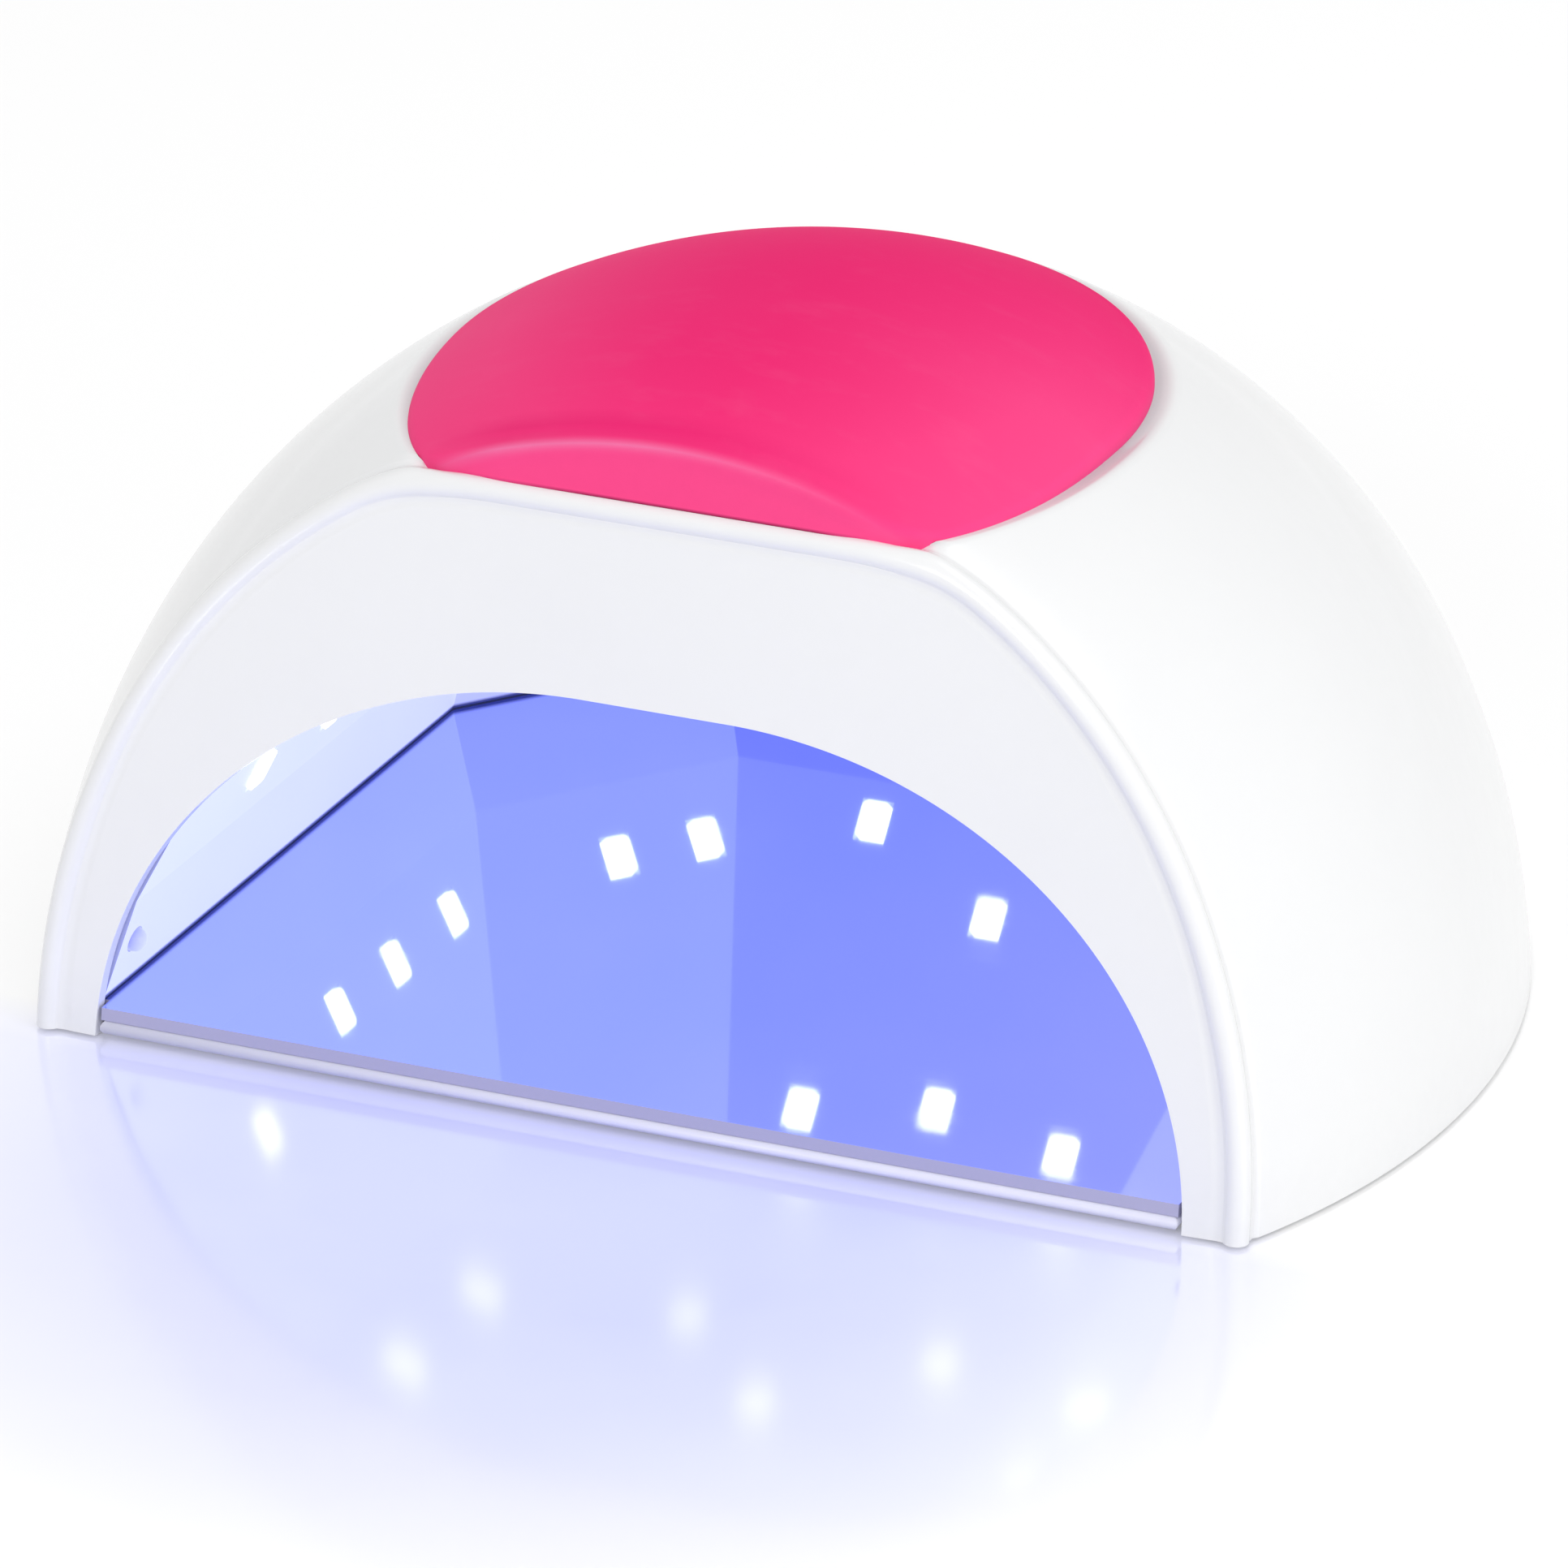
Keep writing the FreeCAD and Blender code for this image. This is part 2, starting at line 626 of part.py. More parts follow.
def build_housing():
    shell = cut("hollow_dome", housing_outside(), housing_inside(), arch("arch"))
    posts = [
        facet_disc(f"post_{i}", along, up, "post_radius", "face_thick + shell_wall / 2", "board_depth")
        for i, (along, up) in enumerate(facet_post_spots())
    ]
    bosses = [
        cylinder(f"boss_{i}", at(x, y, value_of(boss_foot)), "boss_radius", f"boss_top - ({boss_foot})")
        for i, (x, y) in enumerate(both_sides(SCREW_SPOTS))
    ]
    inlet_place = behind_inlet(size["inlet_seat_y"] - size["inlet_wall"])
    inlet_pad = cylinder("inlet_pad", inlet_place, "inlet_pad_radius", "inlet_wall + shell_wall")
    trimmed = common(
        "trimmed_bosses",
        fuse("bosses", inlet_pad, *bosses),
        dome("boss_trim", "shell_wall / 2"),
    )
    solid = fuse("housing_with_bosses", shell, trimmed, *posts)

    cuts = []
    for i, (along, up) in enumerate(facet_post_spots()):
        start = "board_depth + board_thick + screw_head_thick - screw_length - pilot_spare"
        cuts.append(facet_disc(f"post_pilot_{i}", along, up, "pilot_radius", start, "board_depth + 1"))
    for i, (x, y) in enumerate(both_sides(SCREW_SPOTS)):
        foot = at(x, y, value_of(boss_foot) - 1)
        cuts.append(cylinder(f"boss_pilot_{i}", foot, "pilot_radius", "pilot_depth + 1"))
    cuts.append(facet_disc("face_recess", 0, 0, "face_radius + face_gap", "-5", "face_thick"))
    for i, (along, up) in enumerate(button_spots()):
        deep = "face_thick + shell_wall + 1"
        hole = "collar_radius + button_gap"
        cuts.append(facet_disc(f"button_hole_{i}", along, up, hole, "0", deep))
    cuts.append(
        facet_block(
            "display_hole", 0, size["window_up"], "digits_length + 2 * digits_gap",
            "digits_height + 2 * digits_gap", "0", "face_thick + shell_wall + 1",
        )
    )
    seat = behind_inlet(size["inlet_seat_y"])
    cuts.append(cylinder("inlet_seat", seat, "inlet_flange_radius + inlet_gap", "10"))
    through = behind_inlet(size["inlet_seat_y"] - size["inlet_wall"] - 2)
    cuts.append(cylinder("inlet_hole", through, "inlet_radius + inlet_gap", "20"))
    for i, (x, y) in enumerate(peg_spots()):
        hole = at(x, y, value_of(PAD_RIM) - 10)
        cuts.append(cylinder(f"peg_hole_{i}", hole, "peg_radius + pad_gap", "40"))
    node("housing_shell", cut("housing_cut", solid, *cuts))


def peg_spots():
    return [(-size["peg_spread"], size["dome_centre_y"]), (size["peg_spread"], size["dome_centre_y"])]


def build_pad():
    """The hand pad: the dome's cap in silicone, wrapped over the front, with two pegs below."""
    rim_z = value_of(PAD_RIM)
    share = math.sqrt(1 - (rim_z / size["dome_height"]) ** 2)
    disc = Part.Face(Part.Wire([Part.Circle(Vector(), Z_AXIS, 1).toShape()]))
    place = at(0, size["dome_centre_y"], rim_z)
    half_x, half_y = size["dome_half_width"] * share, size["dome_half_depth"] * share
    oval = stretched("pad_oval", disc, half_x, half_y, place)
    sides = drawn_out("pad_outline", oval, Z_AXIS, "dome_height")
    cap = common(
        "pad_cap",
        dome("pad_top", "0"),
        sides,
        behind_front("pad_front", "0"),
        slab("pad_slab", f"{PAD_RIM} - trough_depth", "dome_height"),
    )
    hollow = common(
        "pad_hollow", dome("pad_underside", "pad_thick"), behind_front("pad_back", "pad_thick")
    )
    skin = cut("pad_skin", cap, hollow)
    pegs = [
        cylinder(f"peg_{i}", at(x, y, rim_z), "peg_radius", "pad_crown")
        for i, (x, y) in enumerate(peg_spots())
    ]
    reach = "pad_thick + pad_gap + shell_wall"
    below = cut("peg_ends", group("pegs", *pegs), dome("peg_floor", reach))
    trimmed = common("peg_stems", below, dome("peg_ceiling", "pad_thick / 2"))
    node("top_pad", fuse("pad_and_pegs", skin, trimmed))


# ---------------------------------------------------------------- reflector liner
def led_window(name, facet, along, up):
    """The hole for a light source in the liner."""
    start = shifted(facet, along, up, -1.0)
    return centred_box(
        name, start, "led_width + 2 * led_gap", "led_height + 2 * led_gap", "liner_wall + 2"
    )


def sensor_place(facet, side):
    return shifted(facet, side * size["sensor_along"], size["sensor_up"])


def build_liner():
    outside = common(
        "liner_outside",
        vault("vault_outside", "liner_wall"),
        slab("liner_height", str(floor_z), "ceiling_z + liner_wall"),
    )
    flange = common(
        "liner_flange",
        dome("flange_edge", "shell_wall + flange_gap"),
        slab("flange_height", str(floor_z), f"{floor_z} + flange_thick"),
    )
    cups = []
    cup_height = "magnet_thick + magnet_gap + magnet_cup"
    for i, (x, y) in enumerate(both_sides(MAGNET_SPOTS)):
        radius = "magnet_radius + magnet_gap + magnet_cup"
        cups.append(cylinder(f"cup_{i}", at(x, y, floor_z), radius, cup_height))
    blank = common(
        "liner_blank",
        fuse("liner_outer", outside, flange, *cups),
        behind_front("liner_front", "shell_wall + flange_gap"),
        dome("liner_dome", "shell_wall + flange_gap"),
    )
    cuts = [vault("vault_inside", "0")]
    for run, (_, facet, spots) in enumerate(light_runs):
        for i, (along, up) in enumerate(spots):
            cuts.append(led_window(f"window_{run}_{i}", facet, along, up))
    for i, (x, y) in enumerate(both_sides(MAGNET_SPOTS)):
        hole = at(x, y, floor_z - 1)
        depth = "magnet_thick + magnet_gap + 1"
        cuts.append(cylinder(f"cup_hole_{i}", hole, "magnet_radius + magnet_gap", depth))
    for i, (x, y) in enumerate(both_sides(SCREW_SPOTS)):
        low = at(x, y, floor_z - 1)
        cuts.append(cylinder(f"screw_hole_{i}", low, "pilot_radius + flange_gap", "flange_thick + 2"))
        sink = "screw_head_thick + 1"
        cuts.append(cylinder(f"screw_sink_{i}", low, "screw_head_radius + magnet_gap", sink))
    for side, facets in ((-1, left_facets), (1, right_facets)):
        start = shifted(sensor_place(facets["wall"], side), 0, 0, -1)
        hole = "sensor_radius + led_gap"
        cuts.append(cylinder(f"sensor_hole_{side + 1}", start, hole, "liner_wall + 4"))
    node("reflector_liner", cut("liner_cut", blank, *cuts))


def build_lights():
    """The light sources, with the circuit strips that they stand on behind the liner."""
    lights = {}
    strips = {}
    for run, (side, facet, spots) in enumerate(light_runs):
        for i, (along, up) in enumerate(spots):
            start = shifted(facet, along, up, -size["led_proud"])
            block = centred_box(
                f"led_block_{run}_{i}", start, "led_width", "led_height",
                "led_proud + liner_wall + strip_gap",
            )
            doc.recompute([block])
            led = doc.addObject("Part::Fillet", f"led_{run}_{i}")
            led.Base = block
            corners = [
                number
                for number, edge in enumerate(block.Shape.Edges, start=1)
                if abs(edge.Length - block.Height.Value) < 1e-6
            ]
            led.Edges = [(number, size["led_corner"], size["led_corner"]) for number in corners]
            lights.setdefault(side, []).append(led)
        ends = [along for along, _ in spots]
        heights = [up for _, up in spots]
        margin = "led_width + 2 * strip_margin"
        middle = ((min(ends) + max(ends)) / 2, (min(heights) + max(heights)) / 2)
        place = shifted(facet, *middle, value_of("liner_wall + strip_gap"))
        length = f"{max(ends) - min(ends)} + {margin}"
        width = f"{max(heights) - min(heights)} + led_height + 2 * strip_margin"
        strips.setdefault(side, []).append(
            centred_box(f"strip_{run}", place, length, width, "strip_thick")
        )
    for side, leds in lights.items():
        node(f"leds_{side}", group(f"led_group_{side}", *leds))
        node(f"led_strips_{side}", group(f"strip_group_{side}", *strips[side]))


def build_sensors():
    """The infrared pair across the mouth that switches the light when a hand goes in."""
    for side, facets, label in ((-1, left_facets, "ir_emitter"), (1, right_facets, "ir_receiver")):
        place = sensor_place(facets["wall"], side)
        barrel = cylinder(label + "_barrel", place, "sensor_radius", "sensor_length")
        bulb = bind(doc.addObject("Part::Sphere", label + "_bulb"), Radius="sensor_radius")
        bulb.Angle1 = -90
        bulb.Placement = place
        node(label, fuse(label + "_body", barrel, bulb))


# ---------------------------------------------------------------- fasteners
def screw(name, place):
    """A screw whose head's face lies at the placement, its shank pointing along +Z."""
    return turned(
        name,
        place,
        [
            ("0", "0"),
            ("screw_head_radius", "0"),
            ("screw_head_radius", "screw_head_thick"),
            ("screw_radius", "screw_head_thick"),
            ("screw_radius", "screw_length - screw_radius"),
            ("0", "screw_length"),
        ],
    )


def build_fasteners():
    liner_screws = [
        screw(f"liner_screw_{i}", at(x, y, floor_z))
        for i, (x, y) in enumerate(both_sides(SCREW_SPOTS))
    ]
    node("liner_screws", group("liner_screw_group", *liner_screws))
    magnets = [
        cylinder(f"magnet_{i}", at(x, y, floor_z), "magnet_radius", "magnet_thick")
        for i, (x, y) in enumerate(both_sides(MAGNET_SPOTS))
    ]
    node("housing_magnets", group("magnet_group", *magnets))
    head_face = "board_depth + board_thick + screw_head_thick"
    board_screws = [
        screw(f"board_screw_{i}", in_facet(along, up, head_face))
        for i, (along, up) in enumerate(facet_post_spots())
    ]
    node("board_screws", group("board_screw_group", *board_screws))


# ---------------------------------------------------------------- control panel
def build_faceplate():
    """The faceplate with its button holes and window opening, and the window itself."""
    holes = [
        facet_disc(f"face_hole_{i}", along, up, "button_radius + button_gap", "-1", "face_thick + 1")
        for i, (along, up) in enumerate(button_spots())
    ]
    opening = facet_block(
        "face_opening", 0, size["window_up"], "window_length + 2 * window_gap",
        "window_height + 2 * window_gap", "-1", "face_thick + 1",
    )
    disc = facet_disc("face_disc", 0, 0, "face_radius", "0", "face_thick")
    node("control_face", cut("face_cut", disc, opening, *holes))
    node(
        "display_window",
        facet_block("window", 0, size["window_up"], "window_length", "window_height", "0", "face_thick"),
    )


def build_board():
    def draw(sketch):
        circle(sketch, "board_radius")

    board = sheet_piece("board", in_facet(0, 0, "board_depth + board_thick"), "board_thick", draw)
    holes = [
        facet_disc(f"board_hole_{i}", along, up, "pilot_radius + 0.2", "board_depth - 1", "board_depth + 5")
        for i, (along, up) in enumerate(facet_post_spots())
    ]
    node("control_board", cut("board_cut", board, *holes))
    switch_top = "board_depth - switch_height"
    side = "switch_side"
    switches = [
        cut(
            f"switch_{i}",
            facet_block(f"switch_case_{i}", along, up, side, side, switch_top, "board_depth"),
            facet_disc(
                f"switch_bore_{i}", along, up, "plunger_radius + plunger_gap", f"{switch_top} - 1",
                f"{switch_top} + plunger_sunk + button_travel + 0.3",
            ),
        )
        for i, (along, up) in enumerate(button_spots())
    ]
    node("key_switches", group("switch_group", *switches))
    node(
        "display_module",
        facet_block(
            "digits", 0, size["window_up"], "digits_length", "digits_height", "digits_depth", "board_depth"
        ),
    )


def build_buttons():
    """Each button with the plunger of the key switch that it presses on."""
    collar_top = "button_proud + face_thick + collar_gap"
    plunger_top = "board_depth - switch_height - plunger_proud"
    stem_end = f"button_proud + {plunger_top}"
    for name, (along, up) in zip(BUTTON_NAMES, button_spots()):
        flipped = in_facet(along, up, "-button_proud") * Placement(Vector(), Rotation(X_AXIS, 180))
        cap = turned(
            f"button_{name}",
            flipped,
            [
                ("0", "0"),
                ("button_radius - 0.6", "0"),
                ("button_radius", "0.6"),
                ("button_radius", collar_top),
                ("collar_radius", collar_top),
                ("collar_radius", f"{collar_top} + collar_thick"),
                ("stem_radius", f"{collar_top} + collar_thick"),
                ("stem_radius", stem_end),
                ("0", stem_end),
            ],
        )
        node(f"button_{name}", cap)
        bottom = f"{plunger_top} + plunger_proud + plunger_sunk"
        plunger = facet_disc(f"plunger_{name}", along, up, "plunger_radius", plunger_top, bottom)
        node(f"switch_plunger_{name}", plunger)


def build_components():
    """What stands on the back of the control board."""
    back = "board_depth + board_thick"
    node(
        "controller_chip",
        facet_block("chip", 0, 0, "chip_side", "chip_side", back, f"{back} + chip_height"),
    )
    node("driver_coil", facet_disc("coil", -12, 12, "coil_radius", back, f"{back} + coil_height"))
    node(
        "capacitor",
        facet_disc("capacitor_can", 12, 12, "capacitor_radius", back, f"{back} + capacitor_height"),
    )
    plugs = [
        facet_block(f"plug_{i}", along, up, "plug_side", "plug_side", back, f"{back} + plug_height")
        for i, (along, up) in enumerate(((-22.0, 0.0), (22.0, 0.0), (0.0, -20.0)))
    ]
    node("lead_plugs", group("plug_group", *plugs))


# ---------------------------------------------------------------- inlet
def build_inlet():
    depth = "inlet_flange_thick + inlet_length"
    tip = size["inlet_seat_y"] + size["inlet_flange_thick"]
    place = Placement(Vector(0, tip, size["inlet_z"]), Rotation(X_AXIS, 90))
    inlet = turned(
        "inlet",
        place,
        [
            ("inlet_bore", "0"),
            ("inlet_flange_radius", "0"),
            ("inlet_flange_radius", "inlet_flange_thick"),
            ("inlet_radius", "inlet_flange_thick"),
            ("inlet_radius", depth),
            ("0", depth),
            ("0", "inlet_pin_sunk"),
            ("inlet_pin_radius", "inlet_pin_sunk"),
            ("inlet_pin_radius", "inlet_bore_depth"),
            ("inlet_bore", "inlet_bore_depth"),
        ],
    )
    node("dc_inlet", inlet)

    nut = doc.addObject("Part::Prism", "nut_blank")
    nut.Polygon = 6
    bind(nut, Circumradius="nut_radius", Height="nut_thick")
    nut.Placement = behind_inlet(size["inlet_seat_y"] - size["inlet_wall"] - size["nut_thick"])
    start = behind_inlet(size["inlet_seat_y"] - size["inlet_wall"] - size["nut_thick"] - 1)
    hole = cylinder("nut_hole", start, "inlet_radius + 0.05", "nut_thick + 2")
    node("inlet_nut", cut("nut", nut, hole))


# ---------------------------------------------------------------- leads
def rounded_path(points):
    """Straight runs joined by tangent arcs, each as large as its two runs allow."""
    points = [Vector(*point) for point in points]
    edges = []
    start = points[0]
    for before, corner, after in zip(points, points[1:], points[2:]):
        first, second = (before - corner), (after - corner)
        shorter = min(first.Length, second.Length)
        first.normalize()
        second.normalize()
        reach = 0.45 * shorter
        half_turn = (math.pi - first.getAngle(second)) / 2
        radius = reach / math.tan(half_turn)
        bisector = (first + second).normalize()
        centre = corner + bisector * (radius / math.cos(half_turn))
        entry, leave = corner + first * reach, corner + second * reach
        edges.append(Part.LineSegment(start, entry).toShape())
        edges.append(Part.Arc(entry, centre - bisector * radius, leave).toShape())
        start = leave
    edges.append(Part.LineSegment(start, points[-1]).toShape())
    return Part.Wire(edges)


def lead(label, points):
    """A sheathed lead along a route."""
    path = rounded_path(points)
    direction = Vector(*points[1]) - Vector(*points[0])
    ring = Part.Wire([Part.Circle(Vector(*points[0]), direction, size["lead_radius"]).toShape()])
    shape = path.makePipeShell([ring], True, False)
    section = math.pi * size["lead_radius"] ** 2
    if abs(shape.Volume - section * path.Length) > 0.01 * shape.Volume:
        raise ValueError(f"{label} has a wrong volume")
    thing = doc.addObject("Part::Feature", label)
    thing.Shape = shape
    node(label, thing)


def spot(place, along, up, out):
    """A point in a frame, as three numbers."""
    return tuple(place.multVec(Vector(along, up, out)))


def build_leads():
    """The leads inside: from the inlet, and from the board's plugs to the light strips."""
    mid_plug = -value_of("board_depth + board_thick + plug_height / 2")
    reach = size["plug_side"] / 2
    barrel_end = size["inlet_seat_y"] - size["inlet_length"]
    low_entry = spot(facet_frame, 0, -20.0 - reach - size["pad_gap"], mid_plug)
    before_entry = spot(facet_frame, 0, -20.0 - reach - 8.0, mid_plug)
    rear_gap = size["vault_rear_y"] + 5.6
    lead(
        "lead_power",
        [
            (0, barrel_end, size["inlet_z"]),
            (0, rear_gap, size["inlet_z"]),
            (0, rear_gap, (size["inlet_z"] + before_entry[2]) / 2 + 1),
            low_entry,
        ],
    )
    for label, facets, side in (("lead_left", left_facets, -1), ("lead_right", right_facets, 1)):
        lift = value_of("liner_wall + strip_gap + strip_thick + lead_radius + 0.15")
        end = SLOPE_LIGHTS[-1]
        landing = spot(facets["slope"], side * end[0], end[1], lift)
        hover = spot(facets["slope"], side * (end[0] + 14.0), end[1] + 2.0, lift + 2.0)
        entry = spot(facet_frame, -side * (22.0 + reach), 0, mid_plug)
        lead(
            label,
            [
                entry,
                (side * (abs(entry[0]) + 14.0), entry[1], entry[2]),
                (side * 60.0, 46.0, 49.0),
                hover,
                landing,
            ],
        )


# ---------------------------------------------------------------- base
def base_outline(name, low, high):
    """The base's plan between two heights, with a tongue that fills the mouth to the front face."""
    edge = dome(name + "_edge", "shell_wall + base_gap")
    room = common(
        name + "_room",
        edge,
        behind_front(name + "_behind", "shell_wall + base_gap"),
        slab(name + "_slab", low, high),
    )
    tongue = common(
        name + "_tongue",
        behind_front(name + "_front", "pad_gap"),
        centred_box(
            name + "_width", at(0, size["front_y"], value_of(low)),
            "2 * (arch_half_width - base_gap)", "60", f"({high}) - ({low})",
        ),
    )
    return fuse(name, room, tongue)


def build_base():
    low = "foot_height - foot_sunk"
    base = base_outline("base_blank", low, f"{low} + base_thick")
    feet_spots = both_sides([(size["foot_x"], size["foot_front_y"]), (size["foot_x"], size["foot_rear_y"])])
    holes = [
        cylinder(f"foot_hole_{i}", at(x, y, value_of(low) - 1), "foot_radius + foot_gap", "foot_sunk + 1")
        for i, (x, y) in enumerate(feet_spots)
    ]
    node("base_plate", cut("base_cut", base, *holes))
    node(
        "mirror_plate",
        base_outline("mirror", f"{low} + base_thick", f"{low} + base_thick + mirror_thick"),
    )
    feet = [
        cylinder(f"foot_{i}", at(x, y, 0), "foot_radius", "foot_height")
        for i, (x, y) in enumerate(feet_spots)
    ]
    node("rubber_feet", group("feet", *feet))


# ---------------------------------------------------------------- build, check and write
build_housing()
build_pad()
build_liner()
build_lights()
build_sensors()
build_fasteners()
build_faceplate()
build_board()
build_buttons()
build_components()
build_inlet()
build_leads()
build_base()
doc.recompute()

for thing in doc.Objects:
    if {"Invalid", "Error"} & set(thing.State):
        raise RuntimeError(f"{thing.Name} failed: {thing.State}")
for piece in nodes:
    if piece.Shape.isNull() or not piece.Shape.isValid():
        raise RuntimeError(f"{piece.Label} has no valid shape")

os.makedirs("parts", exist_ok=True)
for piece in nodes:
    piece.Shape.exportStep(f"parts/{piece.Label}.step")
    print(f"{piece.Label}: {len(piece.Shape.Solids)} solids, {piece.Shape.Volume:.1f} mm3")
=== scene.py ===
"""The looks of a UV nail lamp: glossy domed housing, soft hand pad, faceted blue light chamber.

Metres, +Z up, the hand goes in along +Y.  Shapes are surfaces worked out as whole arrays: grids
of two parameters, or profiles carried along a path.  Finishes are procedural.
"""
import math

import bmesh
import bpy
import numpy as np
from mathutils import Matrix, Vector


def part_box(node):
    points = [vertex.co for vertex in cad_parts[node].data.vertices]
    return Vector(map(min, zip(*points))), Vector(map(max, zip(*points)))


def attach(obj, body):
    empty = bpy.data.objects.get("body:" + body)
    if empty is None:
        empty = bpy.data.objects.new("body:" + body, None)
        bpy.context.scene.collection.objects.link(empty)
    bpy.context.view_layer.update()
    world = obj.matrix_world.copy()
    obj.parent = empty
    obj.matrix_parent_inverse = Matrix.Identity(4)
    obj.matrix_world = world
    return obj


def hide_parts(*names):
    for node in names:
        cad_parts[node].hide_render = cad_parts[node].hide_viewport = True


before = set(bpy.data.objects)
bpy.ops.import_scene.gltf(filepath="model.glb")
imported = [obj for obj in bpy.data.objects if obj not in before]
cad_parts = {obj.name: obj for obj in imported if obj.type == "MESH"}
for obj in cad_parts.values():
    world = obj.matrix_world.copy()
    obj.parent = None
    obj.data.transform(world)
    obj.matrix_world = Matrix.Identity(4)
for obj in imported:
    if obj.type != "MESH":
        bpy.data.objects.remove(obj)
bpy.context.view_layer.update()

# ---------------------------------------------------------------- sizes
MM = 0.001
shell_low, shell_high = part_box("housing_shell")
pad_low, pad_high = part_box("top_pad")
mirror_low, mirror_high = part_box("mirror_plate")
base_low, base_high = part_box("base_plate")

HALF_WIDTH = shell_high.x
DOME_HEIGHT = pad_high.z
DOME_Y = -31.5 * MM
HALF_DEPTH = shell_high.y - DOME_Y
DOME = np.array([HALF_WIDTH, HALF_DEPTH, DOME_HEIGHT])
DOME_CENTRE = np.array([0.0, DOME_Y, 0.0])
FRONT_Y = -95.5 * MM
LEAN = math.radians(8.6)
FRONT_OUT = np.array([0.0, -math.cos(LEAN), math.sin(LEAN)])
FRONT_UP = np.array([0.0, math.sin(LEAN), math.cos(LEAN)])
RIM_Z = shell_low.z
WALL = 2.4 * MM

ARCH_HALF_WIDTH = 91.0 * MM
ARCH_FLAT = 12.0 * MM
ARCH_HEIGHT = 67.5 * MM

BEAD_RADIUS = 2.0 * MM
BEAD_SUNK = 1.25 * MM  # the bead's centre below the edge that it follows
BEAD_TOP_Z = 98.5 * MM  # where the bead runs level under the pad
BEAD_CORNER = 6.0 * MM  # how softly it turns there
BESIDE_BEAD = 4.4 * MM  # reach of the bead and the groove beside it
GROOVE = 0.34 * MM  # depth of the groove on the dome's side of the bead
FRONT_GROOVE = 0.12 * MM

PAD_RIM_Z = 100.2 * MM  # the pad's edge at its front corners
PAD_SIDE_RISE = 1.9 * MM  # how much higher it is at the sides and behind
PAD_CORNER_TURN = math.radians(-44.0)
SHELF = 2.4 * MM  # how far the shell climbs on under the pad
PAD_FOOT_Z = 98.0 * MM
PAD_CORNER = 9.0 * MM  # how softly its plan turns at the front corners
PAD_THICK = 3.0 * MM
PAD_BAND = 6.0 * MM  # band inside the edge whose rows follow the edge
PAD_SOFT = 2.2 * MM  # reach of the softened edge
RIB_RISE = 0.34 * MM  # the rib along the pad's front edge
RIB_REACH = 1.1 * MM
VALLEY_DEPTH = 0.16 * MM  # the shallow valleys beside the rib
VALLEY_AWAY = 3.0 * MM
VALLEY_REACH = 1.2 * MM
CHANNEL_DEPTH = 2.1 * MM
CHANNEL_WIDTH = 4.6 * MM
CHANNEL_FOOT_Z = 94.4 * MM  # the channel round the pad lies above this height

SPLAY = 0.016  # how much the legs spread at the floor, as a share of their place
SPLAY_TOP_Z = 60.0 * MM
SPLAY_SOFT = 6.0 * MM

BASE_GAP = 0.8 * MM  # between the base and what stands round it

FACET_TILT = math.radians(35.0)
FACET_DEPTH = 7.0 * MM
FACET_EDGE = 1.8 * MM  # half the band of close rings where the facet meets the dome
FACET_BLOCK = 51.0 * MM  # half the width of the dome's block round the facet
FACE_RADIUS = 32.15 * MM
FACE_THICK = 1.6 * MM
FACE_LEDGE = 29.5 * MM  # inner radius of the ledge on which the faceplate lies
PRINT_LIFT = 0.04 * MM  # clearance of what lies on the panel

INLET_Z = 17.0 * MM
INLET_SEAT_Y = 92.2 * MM
INLET_RADIUS = 7.0 * MM
INLET_BARREL = 5.5 * MM
INLET_BLOCK = 10.5 * MM
SEAM_Z = 24.9 * MM  # one of the dome's rows runs here, between the inlet and the facet


# ---------------------------------------------------------------- small maths on arrays
def unit(vectors):
    """Each vector divided by its length."""
    return vectors / np.linalg.norm(vectors, axis=-1, keepdims=True)


def dot(a, b):
    """Dot product of vectors, kept as a last axis of one."""
    return np.sum(a * b, axis=-1, keepdims=True)


def ease(x, start, end):
    """0 before start, 1 after end, and 3t^2 - 2t^3 between."""
    t = np.clip((x - start) / (end - start), 0.0, 1.0)
    return t * t * (3.0 - 2.0 * t)


def soft_least(a, b, width):
    """The lesser of two, less (width - |a - b|)^2 / 4 width where they are nearer than width."""
    near = np.maximum(width - np.abs(a - b), 0.0)
    return np.minimum(a, b) - near**2 / (4.0 * width)


def run_along(points):
    """Length from the first row of points to each row."""
    steps = np.linalg.norm(np.diff(points, axis=0), axis=-1)
    return np.concatenate([np.zeros_like(steps[:1]), np.cumsum(steps, axis=0)])


def at_shares(points, shares):
    """Points on a line of points, at shares of its run."""
    run = run_along(points)
    return np.stack([np.interp(shares * run[-1], run, column) for column in points.T], -1)


# ---------------------------------------------------------------- meshes from grids
def quads(rows, columns, closed=False, keep=None):
    """Corner numbers of a grid's quads, its points numbered row by row."""
    numbers = np.arange(rows * columns).reshape(rows, columns)
    if closed:
        numbers = np.concatenate([numbers, numbers[:, :1]], axis=1)
    found = np.stack([numbers[:-1, :-1], numbers[:-1, 1:], numbers[1:, 1:], numbers[1:, :-1]], -1)
    return found[keep] if keep is not None else found.reshape(-1, 4)


def in_scene(name, data):
    """A new object in the scene, holding a mesh, a curve, a lamp or a camera."""
    piece = bpy.data.objects.new(name, data)
    bpy.context.scene.collection.objects.link(piece)
    return piece


